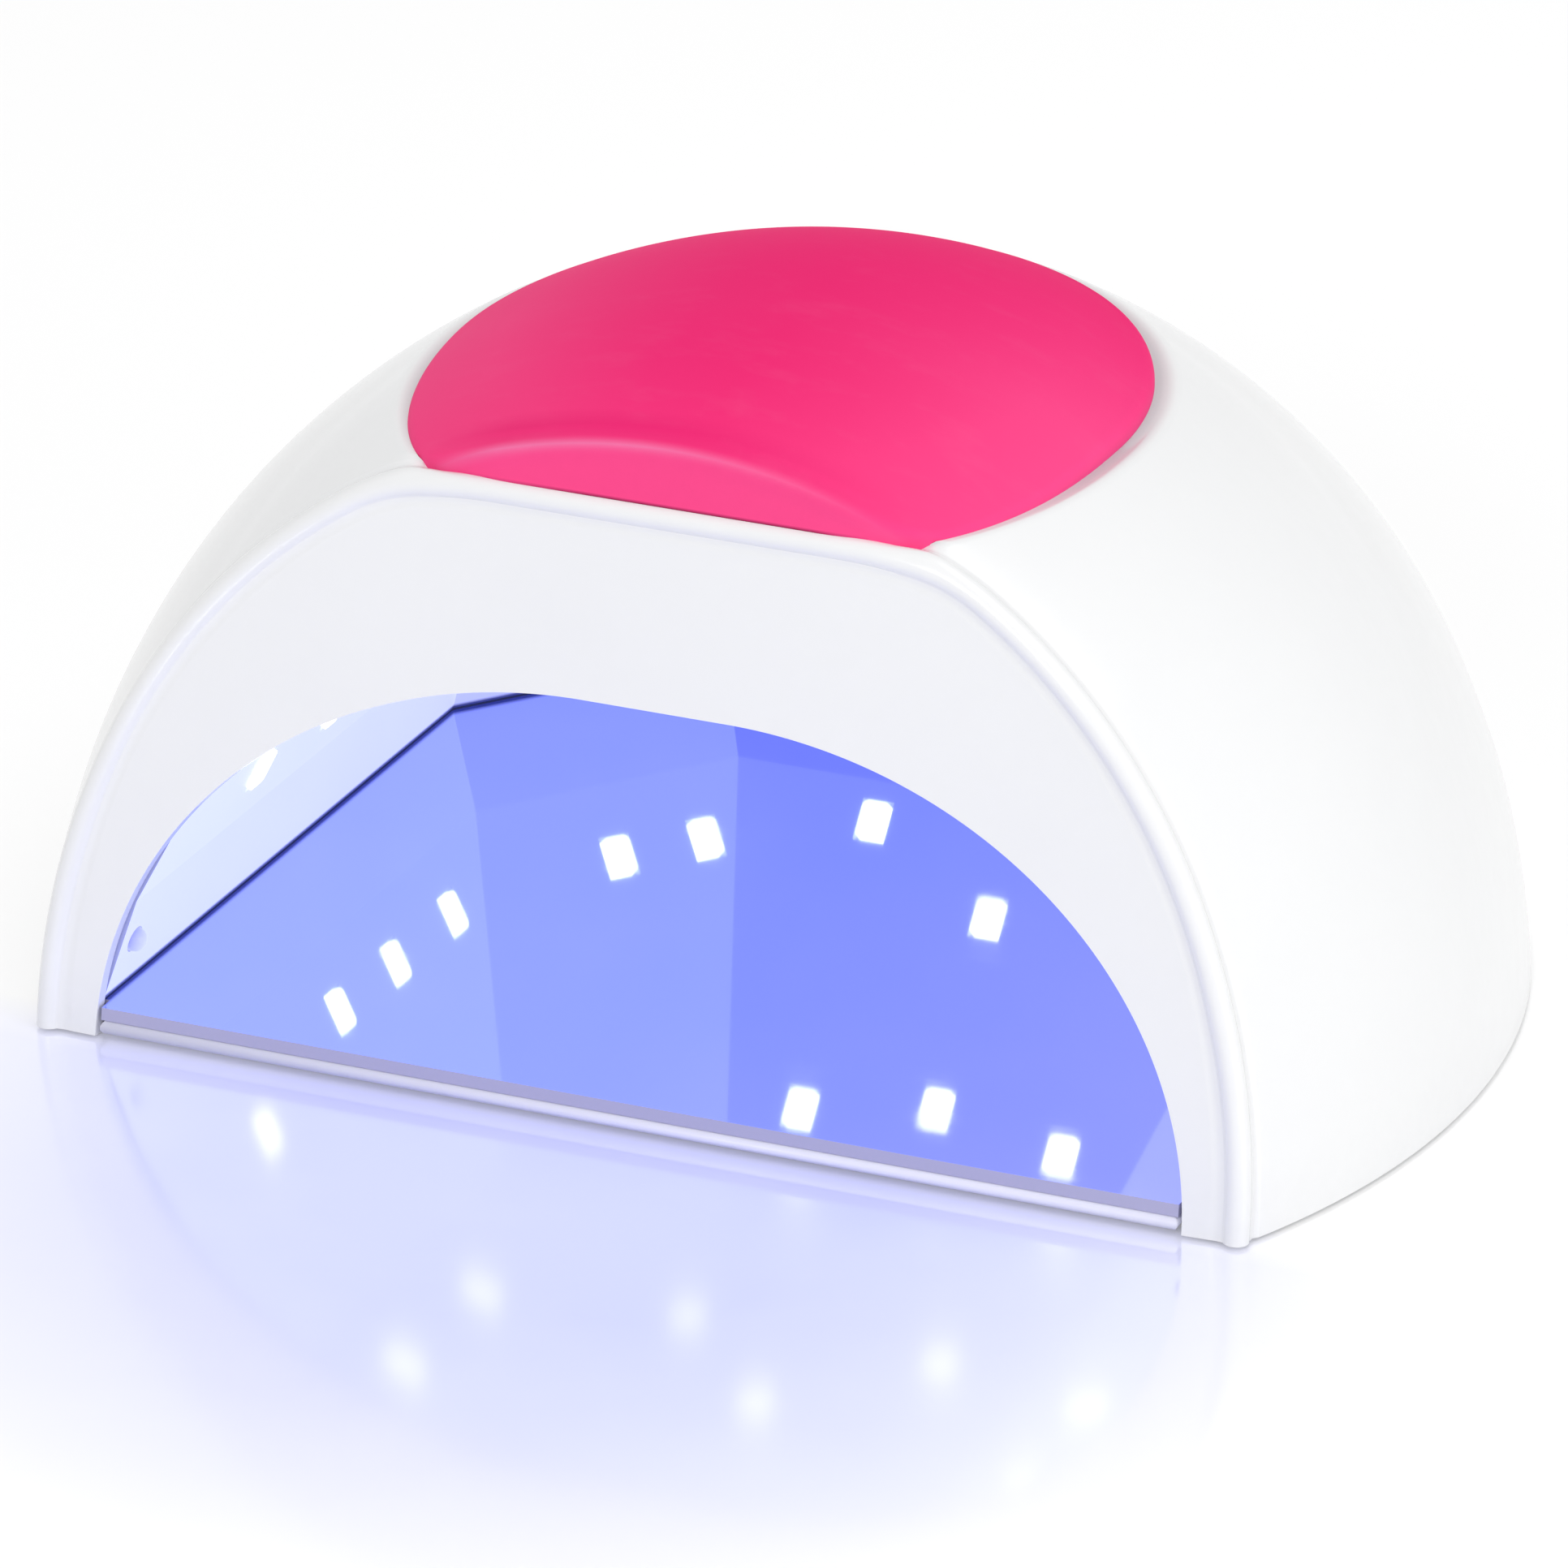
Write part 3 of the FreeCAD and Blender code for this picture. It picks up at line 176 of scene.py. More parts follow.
class Skin:
    """Grids gathered into one mesh, whose shared edges are then merged."""

    def __init__(self):
        self.points, self.faces, self.count = [], [], 0

    def add(self, grid, closed=False, keep=None):
        """A grid of points; closed joins its last column to its first."""
        rows, columns = grid.shape[:2]
        self.points.append(grid.reshape(-1, 3))
        self.faces.append(quads(rows, columns, closed, keep) + self.count)
        self.count += rows * columns
        return self

    def cap(self, loop):
        """Closes a loop with quads drawn in to its middle."""
        middle = loop.mean(axis=0)
        return self.add(np.stack([loop, np.repeat(middle[None], len(loop), axis=0)]), closed=True)

    def make(self, name, inside, merge=2e-6):
        """The mesh object: doubles merged, faces turned away from the point inside."""
        mesh = bpy.data.meshes.new(name)
        points, faces = np.concatenate(self.points), np.concatenate(self.faces)
        mesh.from_pydata(points.tolist(), [], faces.tolist())
        work = bmesh.new()
        work.from_mesh(mesh)
        bmesh.ops.remove_doubles(work, verts=work.verts, dist=merge)
        bmesh.ops.dissolve_degenerate(work, edges=work.edges, dist=merge / 2)
        bmesh.ops.recalc_face_normals(work, faces=work.faces)
        middle = Vector(inside)
        outward = sum(
            (face.calc_center_median() - middle).dot(face.normal) * face.calc_area()
            for face in work.faces
        )
        if outward < 0:
            bmesh.ops.reverse_faces(work, faces=work.faces)
        work.to_mesh(mesh)
        work.free()
        mesh.shade_smooth()
        return in_scene(name, mesh)


def modifier(piece, kind, **settings):
    """Adds one of Blender's modifiers to a piece."""
    added = piece.modifiers.new(kind.lower(), kind)
    for name, value in settings.items():
        setattr(added, name, value)
    return piece


def rounded(piece, width, segments, angle):
    """Rounds a piece's edges that turn by more than an angle in degrees."""
    limit = math.radians(angle)
    return modifier(
        piece, "BEVEL", width=width, segments=segments, limit_method="ANGLE", angle_limit=limit
    )


def dressed(piece, material, body, slot, *replaced):
    """Gives a new piece its finish and its body, and hides the nodes that it stands for; slot is
    not used.
    """
    piece.data.materials.clear()
    piece.data.materials.append(material)
    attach(piece, body)
    if replaced:
        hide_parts(*replaced)
    return piece


# ---------------------------------------------------------------- the dome
def dome_point(turn, rise, inset=0.0):
    """Ellipsoid: X = a cos(turn) cos(rise), Y = Yc + b sin(turn) cos(rise), Z = h sin(rise)."""
    a, b, h = DOME - inset
    x = a * np.cos(turn) * np.cos(rise)
    y = DOME_Y + b * np.sin(turn) * np.cos(rise)
    return np.stack(np.broadcast_arrays(x, y, h * np.sin(rise)), -1)


def dome_out(points):
    """The ellipsoid's outward normal: the offset from its centre over each half axis squared."""
    return unit((points - DOME_CENTRE) / DOME**2)


def onto_dome(points):
    """Points drawn straight towards or away from the ellipsoid's centre, onto it."""
    offset = points - DOME_CENTRE
    return DOME_CENTRE + offset / np.linalg.norm(offset / DOME, axis=-1, keepdims=True)


def dome_angles(points):
    """Turn and rise of points on the ellipsoid."""
    x, y, z = np.moveaxis((points - DOME_CENTRE) / DOME, -1, 0)
    return np.arctan2(y, x), np.arcsin(np.clip(z, -1.0, 1.0))


def in_front_plane(x, up):
    """The point of the front plane at X and a distance up it."""
    x, up = np.broadcast_arrays(x, up)
    foot = np.stack([x, np.full_like(x, FRONT_Y), np.zeros_like(x)], -1)
    return foot + up[..., None] * FRONT_UP


def edge_path(angle):
    """The bead's path: the ellipse in which the front plane cuts the dome, levelled off at the top.

    In the plane, x = -p cos(angle) and up = q + r sin(angle), with up held softly below the level
    at which the pad stands.
    """
    offset = FRONT_Y - DOME_Y
    square = math.sin(LEAN) ** 2 / HALF_DEPTH**2 + math.cos(LEAN) ** 2 / DOME_HEIGHT**2
    middle = -offset * math.sin(LEAN) / HALF_DEPTH**2 / square
    share = 1.0 - offset**2 / HALF_DEPTH**2 + square * middle**2
    across, upright = HALF_WIDTH * math.sqrt(share), math.sqrt(share / square)
    up = middle + upright * np.sin(angle)
    level = BEAD_TOP_Z / math.cos(LEAN)
    return in_front_plane(-across * np.cos(angle), soft_least(up, level, BEAD_CORNER))


def bead_frames(angle):
    """Along the path: its points, the ways that dome and front leave it, and their bisector.

    Then the way out of the dome's side, and where the bead runs level under the pad.
    """
    step = 1e-4
    point = edge_path(angle)
    along = unit(edge_path(angle + step) - edge_path(angle - step))
    out = dome_out(point)
    over_pad = ease(np.abs(np.cos(angle)), 0.47, 0.36)[..., None]  # 1 where the bead runs level
    beside = unit(np.cross(along, out))
    beside = beside * np.sign(dot(beside, np.array([0.0, 1.0, 0.0])))
    beside = unit(beside * (1.0 - over_pad) + np.array([0.0, 1.0, -0.12]) * over_pad)
    front = unit(np.cross(along, FRONT_OUT))
    front = front * np.sign(-dot(front, point - np.array([0.0, FRONT_Y, 0.0])))
    upward = unit(out * (1.0 - over_pad) + np.array([0.0, 0.12, 1.0]) * over_pad)
    return point, beside, front, unit(upward + FRONT_OUT), upward, over_pad


def bead_half(point, away, bisector, out, surface, groove_depth):
    """Half of the bead's section, from its crest to the surface beside it.

    A circle round a centre that lies below the edge, as far as the surface, and then a shallow
    groove whose depth goes as sin^2 of the way across it.
    """
    lean = dot(away, bisector)
    centre = point - BEAD_SUNK * bisector
    reach = -BEAD_SUNK * lean + np.sqrt((BEAD_SUNK * lean) ** 2 - BEAD_SUNK**2 + BEAD_RADIUS**2)
    landing = point + reach * away - centre
    sideways = unit(away - lean * bisector)
    last = np.arctan2(dot(landing, sideways), dot(landing, bisector))
    share = np.linspace(0.0, 1.0, 8)[None, :, None]
    turn = last[:, None] * share
    arc = centre[:, None] + BEAD_RADIUS * (
        np.cos(turn) * bisector[:, None] + np.sin(turn) * sideways[:, None]
    )
    arc_end = reach[:, None]
    arc = arc + (surface(arc_end) - (point[:, None] + arc_end * away[:, None])) * share
    share = np.linspace(0.0, 1.0, 8)[None, 1:, None]
    distance = arc_end + (BESIDE_BEAD - arc_end) * share
    groove = surface(distance) - groove_depth * np.sin(math.pi * share) ** 2 * out[:, None]
    return np.concatenate([arc, groove], axis=1)


# ---------------------------------------------------------------- flat places cut into the dome
class Flat:
    """A flat place on the dome: its middle, and the ways along it, up it and out of it."""

    def __init__(self, middle, along, up, out):
        given = (middle, along, up, out)
        self.middle, self.along, self.up, self.out = (np.array(way, float) for way in given)

    def place(self, along, up, out):
        """The point at distances along, up and out of the flat."""
        along, up, out = (np.asarray(value)[..., None] for value in (along, up, out))
        return self.middle + along * self.along + up * self.up + out * self.out

    def spread(self, points):
        """How far along and up the flat points lie."""
        offset = points - self.middle
        return offset @ self.along, offset @ self.up

    def dome_above(self, along, up):
        """How far out of the flat the dome lies: the root of a square on the line along out."""
        start = (self.place(along, up, np.zeros_like(along)) - DOME_CENTRE) / DOME
        way = self.out / DOME
        a, b, c = way @ way, start @ way, np.sum(start**2, axis=-1) - 1.0
        return (-b + np.sqrt(np.maximum(b * b - a * c, 0.0))) / a


def control_facet():
    """The flat that faces up and back: the dome's tangent plane there, moved in by its depth."""
    out = np.array([0.0, math.cos(FACET_TILT), math.sin(FACET_TILT)])
    reach = math.sqrt(np.sum((DOME * out) ** 2))
    middle = DOME_CENTRE + (reach - FACET_DEPTH) / reach**2 * DOME**2 * out
    up = [0.0, -math.sin(FACET_TILT), math.cos(FACET_TILT)]
    return Flat(middle, [-1.0, 0.0, 0.0], up, out)


FACET = control_facet()
INLET = Flat([0.0, INLET_SEAT_Y, INLET_Z], [-1.0, 0.0, 0.0], [0.0, 0.0, 1.0], [0.0, 1.0, 0.0])


def around(grid, low_row, high_row, low_column, high_column):
    """The loop of a grid's points round a block of its quads."""
    return np.concatenate(
        [
            grid[low_row, low_column:high_column],
            grid[low_row:high_row, high_column],
            grid[high_row, high_column:low_column:-1],
            grid[high_row:low_row:-1, low_column],
        ]
    )


def left_out(grid, keep, seam, low_row, high_row, flat, half):
    """Leaves a block of quads out of the dome's grid, and returns the loop of points round it.

    The block's columns are those behind, within half a width of the flat's middle on the seam row.
    """
    along, _ = flat.spread(grid[seam])
    inside = (grid[seam, :, 1] > 0) & (np.abs(along) < half)
    low_column, high_column = np.flatnonzero(inside)[[0, -1]]
    keep[low_row:high_row, low_column:high_column] = False
    return around(grid, low_row, high_row, low_column, high_column)


def facet_radii(angle, far):
    """Ring radii from the faceplate to far, close together where the flat meets the dome.

    The flat cuts the dome in an ellipse; its half axes are the dome's own there, times the root of
    one less the square of the flat's share of the way out.
    """
    touching = math.sqrt(np.sum((DOME * FACET.out) ** 2))
    shrunk = math.sqrt(1.0 - (1.0 - FACET_DEPTH / touching) ** 2)
    upright = HALF_DEPTH * DOME_HEIGHT / touching
    edge = shrunk / np.hypot(np.cos(angle) / HALF_WIDTH, np.sin(angle) / upright)
    face, near, past = np.full_like(far, FACE_RADIUS), edge - FACET_EDGE, edge + FACET_EDGE
    return np.concatenate(
        [np.linspace(face, near, 5), np.linspace(near, past, 11)[1:], np.linspace(past, far, 7)[1:]]
    )


def inlet_radii(angle, far):
    """Ring radii in even steps from the inlet's recess to far."""
    return np.linspace(np.full_like(far, INLET_RADIUS), far, 7)


def hole_in_dome(skin, loop, flat, radii_for, width, floor, floor_radius):
    """Fills a block of the dome round a round recess.

    Rings are drawn from a circle on the flat to the loop round the block, at the radii that a
    function gives by angle and by how far the loop is; each point lies on the dome or on the flat,
    whichever is further in, with a soft change over a width.  The recess then goes down to its
    floor and in along it.
    """
    along, up = flat.spread(loop)
    angle = np.arctan2(up, along)

    def circle(radius, out):
        return flat.place(radius * np.cos(angle), radius * np.sin(angle), out)

    radii = radii_for(angle, np.hypot(along, up))
    level = np.zeros_like(angle)
    rings = [circle(floor_radius, level + floor), circle(radii[0], level + floor)]
    for radius in radii[:-1]:
        above = flat.dome_above(radius * np.cos(angle), radius * np.sin(angle))
        rings.append(circle(radius, soft_least(above, level, width) if width else above))
    skin.add(np.stack(rings + [loop]), closed=True)


# ---------------------------------------------------------------- housing
def past_corner(turn):
    """0 at the pad's front corners and in front of them, 1 well round the sides and behind."""
    lean = np.arcsin(np.clip(np.sin(turn), -1.0, 1.0))
    return ease(lean, PAD_CORNER_TURN, PAD_CORNER_TURN + math.radians(42.0))


def pad_edge_z(turn):
    """Height of the pad's edge: it climbs the dome from the front corners to the sides."""
    return PAD_RIM_Z + PAD_SIDE_RISE * past_corner(turn)


def channel(turn, rise):
    """How far down the channel round the pad lies, by the distance from the pad's side."""
    edge_rise = np.arcsin(pad_edge_z(turn) / DOME_HEIGHT)
    edge = dome_point(turn, edge_rise)
    distance = np.linalg.norm(dome_point(turn, np.minimum(rise, edge_rise)) - edge, axis=-1)
    under = np.linalg.norm(dome_point(turn, np.maximum(rise, edge_rise)) - edge, axis=-1)
    share = 0.35 + 0.65 * past_corner(turn)  # narrower and shallower at the front corners
    slope = 1.0 - ease(distance / (CHANNEL_WIDTH * share), 0.0, 1.0)
    return CHANNEL_DEPTH * share * slope + SHELF * ease(under, 0.0, 1.5 * MM)


def lowered(points, keep=1.0):
    """Points on the dome, let down into the channel round the pad."""
    turn, rise = dome_angles(points)
    drop = channel(turn, rise) * keep
    return points - drop[..., None] * np.array([0.0, 0.0, 1.0])


def build_housing_skin():
    """The housing's outside: dome, bead, front face, and the recesses behind.

    The dome is a grid of rows at even heights, each from one leg of the bead round the back to the
    other; both halves of the bead are sections carried along its path; the front is ruled straight
    from the bead to the arch.
    """
    heights = np.concatenate(
        [
            np.linspace(RIM_Z, SEAM_Z, 15)[:-1],
            np.linspace(SEAM_Z, CHANNEL_FOOT_Z, 46)[:-1],
            np.linspace(CHANNEL_FOOT_Z, PAD_RIM_Z, 15),
            PAD_RIM_Z + np.linspace(0.0, SHELF, 5)[1:],
        ]
    )
    rises = np.arcsin(heights / DOME_HEIGHT)

    # The path's angles: where the dome side of the bead ends on each row, then evenly over the top.
    dense = np.linspace(-0.15, math.pi / 2, 6000)
    point, beside, *_ = bead_frames(dense)
    end_rise = dome_angles(onto_dome(point + BESIDE_BEAD * beside))[1]
    leg = np.interp(rises, np.maximum.accumulate(end_rise), dense)
    top = np.linspace(leg[-1], math.pi - leg[-1], 90)[1:-1]
    angle = np.concatenate([leg, top, math.pi - leg[::-1]])

    point, beside, front, bisector, upward, over_pad = bead_frames(angle)

    def on_dome_side(distance):
        straight = point[:, None] + distance * beside[:, None]
        clear = ease(distance, 1.5 * MM, BESIDE_BEAD)[..., 0]
        draped = lowered(onto_dome(straight), clear)
        return draped * (1.0 - over_pad[:, None]) + straight * over_pad[:, None]

    def on_front(distance):
        return point[:, None] + distance * front[:, None]

    dome_half = bead_half(point, beside, bisector, upward, on_dome_side, GROOVE)
    outward = np.broadcast_to(FRONT_OUT, point.shape)
    front_half = bead_half(point, front, bisector, outward, on_front, FRONT_GROOVE)
    for half in (dome_half, front_half):
        half[0, :, 2] = RIM_Z
        half[-1, :, 2] = RIM_Z

    # The dome between the two ends of each row.
    rows, columns = len(rises), 260
    start = dome_angles(onto_dome(point + BESIDE_BEAD * beside)[:rows])[0]
    share = np.linspace(0.0, 1.0, columns)
    turn = start[:, None] - share * (3 * math.pi + 2 * start)[:, None]
    climb = np.maximum(heights - CHANNEL_FOOT_Z, 0.0)[:, None] / (PAD_RIM_Z - CHANNEL_FOOT_Z)
    level = heights[:, None] + climb * (pad_edge_z(turn) - PAD_RIM_Z)
    dome_grid = lowered(dome_point(turn, np.arcsin(level / DOME_HEIGHT)))
    dome_grid[:, 0] = dome_half[:rows, -1]
    dome_grid[:, -1] = dome_half[::-1][:rows, -1]

    # Blocks left out for the control facet and the inlet, and then filled.
    keep = np.ones((rows - 1, columns - 1), bool)
    seam = int(np.argmin(np.abs(heights - SEAM_Z)))
    facet_top = int(np.argmin(np.abs(heights - CHANNEL_FOOT_Z)))
    inlet_low = int(np.flatnonzero(heights > INLET_Z - INLET_BLOCK)[0])
    facet_loop = left_out(dome_grid, keep, seam, seam, facet_top, FACET, FACET_BLOCK)
    inlet_loop = left_out(dome_grid, keep, seam, inlet_low, seam, INLET, INLET_BLOCK)
    skin = Skin()
    skin.add(dome_grid, keep=keep)
    skin.add(dome_half)
    skin.add(front_half)
    hole_in_dome(skin, facet_loop, FACET, facet_radii, 0.35 * MM, -FACE_THICK, FACE_LEDGE)
    hole_in_dome(skin, inlet_loop, INLET, inlet_radii, 0.0, 0.0, INLET_BARREL)

    # The front face, ruled from the bead's groove to the arch.
    outer = front_half[:, -1]
    run = run_along(outer)
    inner = arch_edge(run / run[-1])
    share = np.linspace(0.0, 1.0, 16)[None, :, None]
    skin.add(outer[:, None] * (1.0 - share) + inner[:, None] * share)
    skin.points = [splayed(points) for points in skin.points]
    return skin


def splayed(points):
    """Splays the legs outside the arch: x grows by a share that fades as the square of height."""
    x, y, z = np.moveaxis(points, -1, 0)
    beyond = ease(np.abs(x), ARCH_HALF_WIDTH, ARCH_HALF_WIDTH + SPLAY_SOFT)
    fade = np.clip(1.0 - z / SPLAY_TOP_Z, 0.0, 1.0) ** 2
    return np.stack([x * (1.0 + SPLAY * beyond * fade), y, z], -1)


def arch_edge(shares):
    """The arch in the front plane: two quarter ellipses with a level top, at shares of its run."""
    reach = ARCH_HALF_WIDTH - ARCH_FLAT
    angle = np.linspace(math.asin(RIM_Z / ARCH_HEIGHT), math.pi / 2, 800)
    x = -ARCH_FLAT - reach * np.cos(angle)
    z = ARCH_HEIGHT * np.sin(angle)
    x, z = np.concatenate([x, -x[::-1]]), np.concatenate([z, z[::-1]])
    return at_shares(in_front_plane(x, z / math.cos(LEAN)), shares)


def build_housing(material):
    """The housing: its outside, given a wall inwards."""
    shell = build_housing_skin().make("shell", DOME_CENTRE)
    modifier(shell, "SOLIDIFY", thickness=WALL, offset=-1.0, use_even_offset=False, use_rim=True)
    rounded(shell, 0.45 * MM, 3, 50)
    modifier(shell, "WEIGHTED_NORMAL", keep_sharp=True)
    return dressed(shell, material, "housing", "shell", "housing_shell")


# ---------------------------------------------------------------- hand pad
def build_pad(material):
    """The silicone pad.

    For each heading round its middle a profile runs from the crown over the dome to the edge, and
    down the side or the front face to its foot.  The edge is softened by a parabola, and along
    the front it is raised into a low rib that dies away towards the corners.
    """
    heading = np.linspace(0.0, 2.0 * math.pi, 481)[:-1]
    across, forward = np.cos(heading), np.sin(heading)
    rim_z = pad_edge_z(np.arctan2(forward / HALF_DEPTH, across / HALF_WIDTH))
    rim_share = np.sqrt(1.0 - (rim_z / DOME_HEIGHT) ** 2)
    oval = rim_share / np.hypot(across / HALF_WIDTH, forward / HALF_DEPTH)

    def dome_z(radius, inset=0.0):
        a, b, h = DOME - inset
        square = (radius * across / a) ** 2 + (radius * forward / b) ** 2
        return h * np.sqrt(np.maximum(1.0 - square, 0.0))

    def to_front(z):
        """Distance to the front plane at a height, or very far where it is never met."""
        gap = DOME_Y - FRONT_Y - z * math.tan(LEAN)
        return np.where(forward < -0.05, gap / np.maximum(-forward, 0.05), 1.0)

    ridge = to_front(np.full_like(heading, 0.1))
    for _ in range(12):
        ridge = to_front(dome_z(np.minimum(ridge, oval * 1.05)))
    edge = soft_least(oval, ridge, PAD_CORNER)
    foot = soft_least(oval, to_front(np.full_like(heading, PAD_FOOT_Z)), PAD_CORNER)

    def place(radius, z):
        return np.stack([radius * across, DOME_Y + radius * forward, z], -1)

    def over_dome(radius, inset=0.0):
        return place(radius, dome_z(radius, inset))

    foot_z = np.full_like(foot, PAD_FOOT_Z)
    upper, lower = over_dome(edge), place(foot, foot_z)
    side_height = np.linalg.norm(upper - lower, axis=1)
    soft = np.minimum(PAD_SOFT, 0.45 * side_height)
    before, past = over_dome(edge - soft), upper + soft[:, None] * unit(lower - upper)
    band = edge - PAD_BAND
    rings = [over_dome(band * share) for share in np.linspace(0.0, 1.0, 50)[1:]]
    rings += [over_dome(band + (PAD_BAND - soft) * share) for share in np.linspace(0.0, 1.0, 8)[1:]]
    crest = len(rings) + 4  # the row half way round the softened edge
    for t in np.linspace(0.0, 1.0, 11)[1:]:
        rings.append((1 - t) ** 2 * before + 2 * t * (1 - t) * upper + t * t * past)
    rings += [past + (lower - past) * share for share in np.linspace(0.0, 1.0, 9)[1:]]
    top = np.stack(rings)

    # The rib: a raised crest with a shallow valley on each side, by distance from the edge.
    run = run_along(top)
    away = run - run[crest]
    rib = RIB_RISE * np.exp(-((away / RIB_REACH) ** 2))
    valley = VALLEY_DEPTH * np.exp(-(((np.abs(away) - VALLEY_AWAY) / VALLEY_REACH) ** 2))
    strength = ease(side_height, 2.4 * MM, 6.0 * MM)
    out = unit(dome_out(upper) + FRONT_OUT)
    top = top + ((rib - valley) * strength)[..., None] * out

    skin = Skin().add(top, closed=True)
    skin.add(np.stack([over_dome(np.zeros_like(edge)), top[0]]), closed=True)
    inner = foot - PAD_THICK
    under = [lower, place(inner, foot_z)]
    under += [over_dome(inner * share, PAD_THICK) for share in np.linspace(1.0, 0.0, 24)]
    skin.add(np.stack(under), closed=True)
    pad = skin.make("hand_pad", (0.0, DOME_Y, PAD_RIM_Z))
    rounded(pad, 0.3 * MM, 2, 55)
    dressed(pad, material, "housing", "pad", "top_pad")
    return pad


# ---------------------------------------------------------------- base
def build_base_tray(material):
    """The base: its plan carried round a rounded edge, so that a roll shows below the mirror."""
    inset = WALL + BASE_GAP
    tongue = ARCH_HALF_WIDTH - BASE_GAP
    front = FRONT_Y + 0.2 * MM
    step_y = FRONT_Y + inset / math.cos(LEAN) + 0.3 * MM
    half_width, half_depth, _ = DOME - inset
    start = math.asin((step_y - DOME_Y) / half_depth)
    turn = np.linspace(start, math.pi - start, 240)
    plan = np.stack([half_width * np.cos(turn), DOME_Y + half_depth * np.sin(turn)], -1)
    mouth = np.array([[-tongue, step_y], [-tongue, front], [tongue, front], [tongue, step_y]])
    plan = np.concatenate([plan, mouth])
    ahead = unit(np.roll(plan, -1, axis=0) - plan)
    normal = np.stack([ahead[:, 1], -ahead[:, 0]], -1)
    corner = normal + np.roll(normal, 1, axis=0)
    corner = corner / np.maximum(dot(corner, corner) / 2.0, 0.5)
    middle_z, half_z = (base_low.z + base_high.z) / 2, (base_high.z - base_low.z) / 2
    rings = []
    for angle in np.linspace(-math.pi / 2, math.pi / 2, 13):
        spots = plan - corner * half_z * (1.0 - math.cos(angle))
        level = np.full(len(spots), middle_z + half_z * math.sin(angle))
        rings.append(np.column_stack([spots, level]))
    skin = Skin().add(np.stack(rings), closed=True)
    skin.cap(rings[0]).cap(rings[-1])
    tray = skin.make("base_tray", (0.0, DOME_Y, middle_z))
    return dressed(tray, material, "base", "base", "base_plate")


# ---------------------------------------------------------------- control panel
def turned(profile, flat, along, up, count=72):
    """A profile of (radius, height) pairs turned about the flat's outward way."""
    angle = np.linspace(0.0, 2.0 * math.pi, count + 1)[:-1]
    radius, height = np.array(profile).T
    x = along + radius[:, None] * np.cos(angle)
    y = up + radius[:, None] * np.sin(angle)
    return flat.place(x, y, np.repeat(height[:, None], count, axis=1))


BUTTONS = ("10", "30", "60", "99")
BUTTON_RING = 20.5 * MM
BUTTON_STEP = math.radians(36.0)
LABEL_RING = 28.2 * MM
WINDOW_UP = 10.0 * MM
MODULE_DEPTH = 2.3 * MM  # of the display module's face under the faceplate's


def button_spot(index, ring=BUTTON_RING):
    """Along and up on the facet of a place on a ring below its middle, in even turns."""
    angle = -math.pi / 2 + (index - (len(BUTTONS) - 1) / 2) * BUTTON_STEP
    return ring * math.cos(angle), ring * math.sin(angle)


def build_button(index, name, material):
    """A cap with a dished top and a rolled edge, on its collar and stem.

    The dish goes as cos^2 of the way out, and the roll is a quarter circle.
    """
    radius, proud, roll_radius = 4.6 * MM, 1.4 * MM, 0.7 * MM
    dish_radius, dish_depth = 0.8 * radius, 0.45 * MM
    collar, below, collar_low = 5.7 * MM, -1.7 * MM, -2.6 * MM
    stem, stem_end = 1.6 * MM, -7.0 * MM
    dish = [
        (r, proud - dish_depth * math.cos(math.pi / 2 * r / dish_radius) ** 2)
        for r in np.linspace(0.0, dish_radius, 10)
    ]
    roll = [
        (radius - roll_radius * (1 - math.sin(a)), proud - roll_radius * (1 - math.cos(a)))
        for a in np.linspace(0.0, math.pi / 2, 7)
    ]
    shank = [(radius, below), (collar, below), (collar, collar_low)]
    shank += [(stem, collar_low), (stem, stem_end), (0.0, stem_end)]
    along, up = button_spot(index)
    skin = Skin().add(turned(dish + roll + shank, FACET, along, up), closed=True)
    cap = skin.make("cap_" + name, FACET.place(along, up, -2.0 * MM))
    rounded(cap, 0.12 * MM, 2, 50)
    return dressed(cap, material, "button_" + name, "button", "button_" + name)


def build_label(name, text, along, up, height, material):
    """Plain figures that lie on the faceplate."""
    curve = bpy.data.curves.new(name, "FONT")
    curve.body = text
    curve.size = height
    curve.align_x, curve.align_y = "CENTER", "CENTER"
    curve.extrude = 0.03 * MM
    holder = in_scene(name, curve)
    bpy.context.view_layer.update()
    drawn = holder.evaluated_get(bpy.context.evaluated_depsgraph_get())
    mesh = bpy.data.meshes.new_from_object(drawn)
    bpy.data.objects.remove(holder)
    turn = Matrix(np.stack([FACET.along, FACET.up, FACET.out], 1).tolist()).to_4x4()
    spot = Vector(FACET.place(along, up, PRINT_LIFT))
    mesh.transform(Matrix.Translation(spot) @ turn)
    return dressed(in_scene(name, mesh), material, "housing", "faceplate")


SEGMENTS = {  # figure: which of the seven bars are lit, from the top round and then the middle
    "6": (1, 0, 1, 1, 1, 1, 1),
    "0": (1, 1, 1, 1, 1, 1, 0),
}


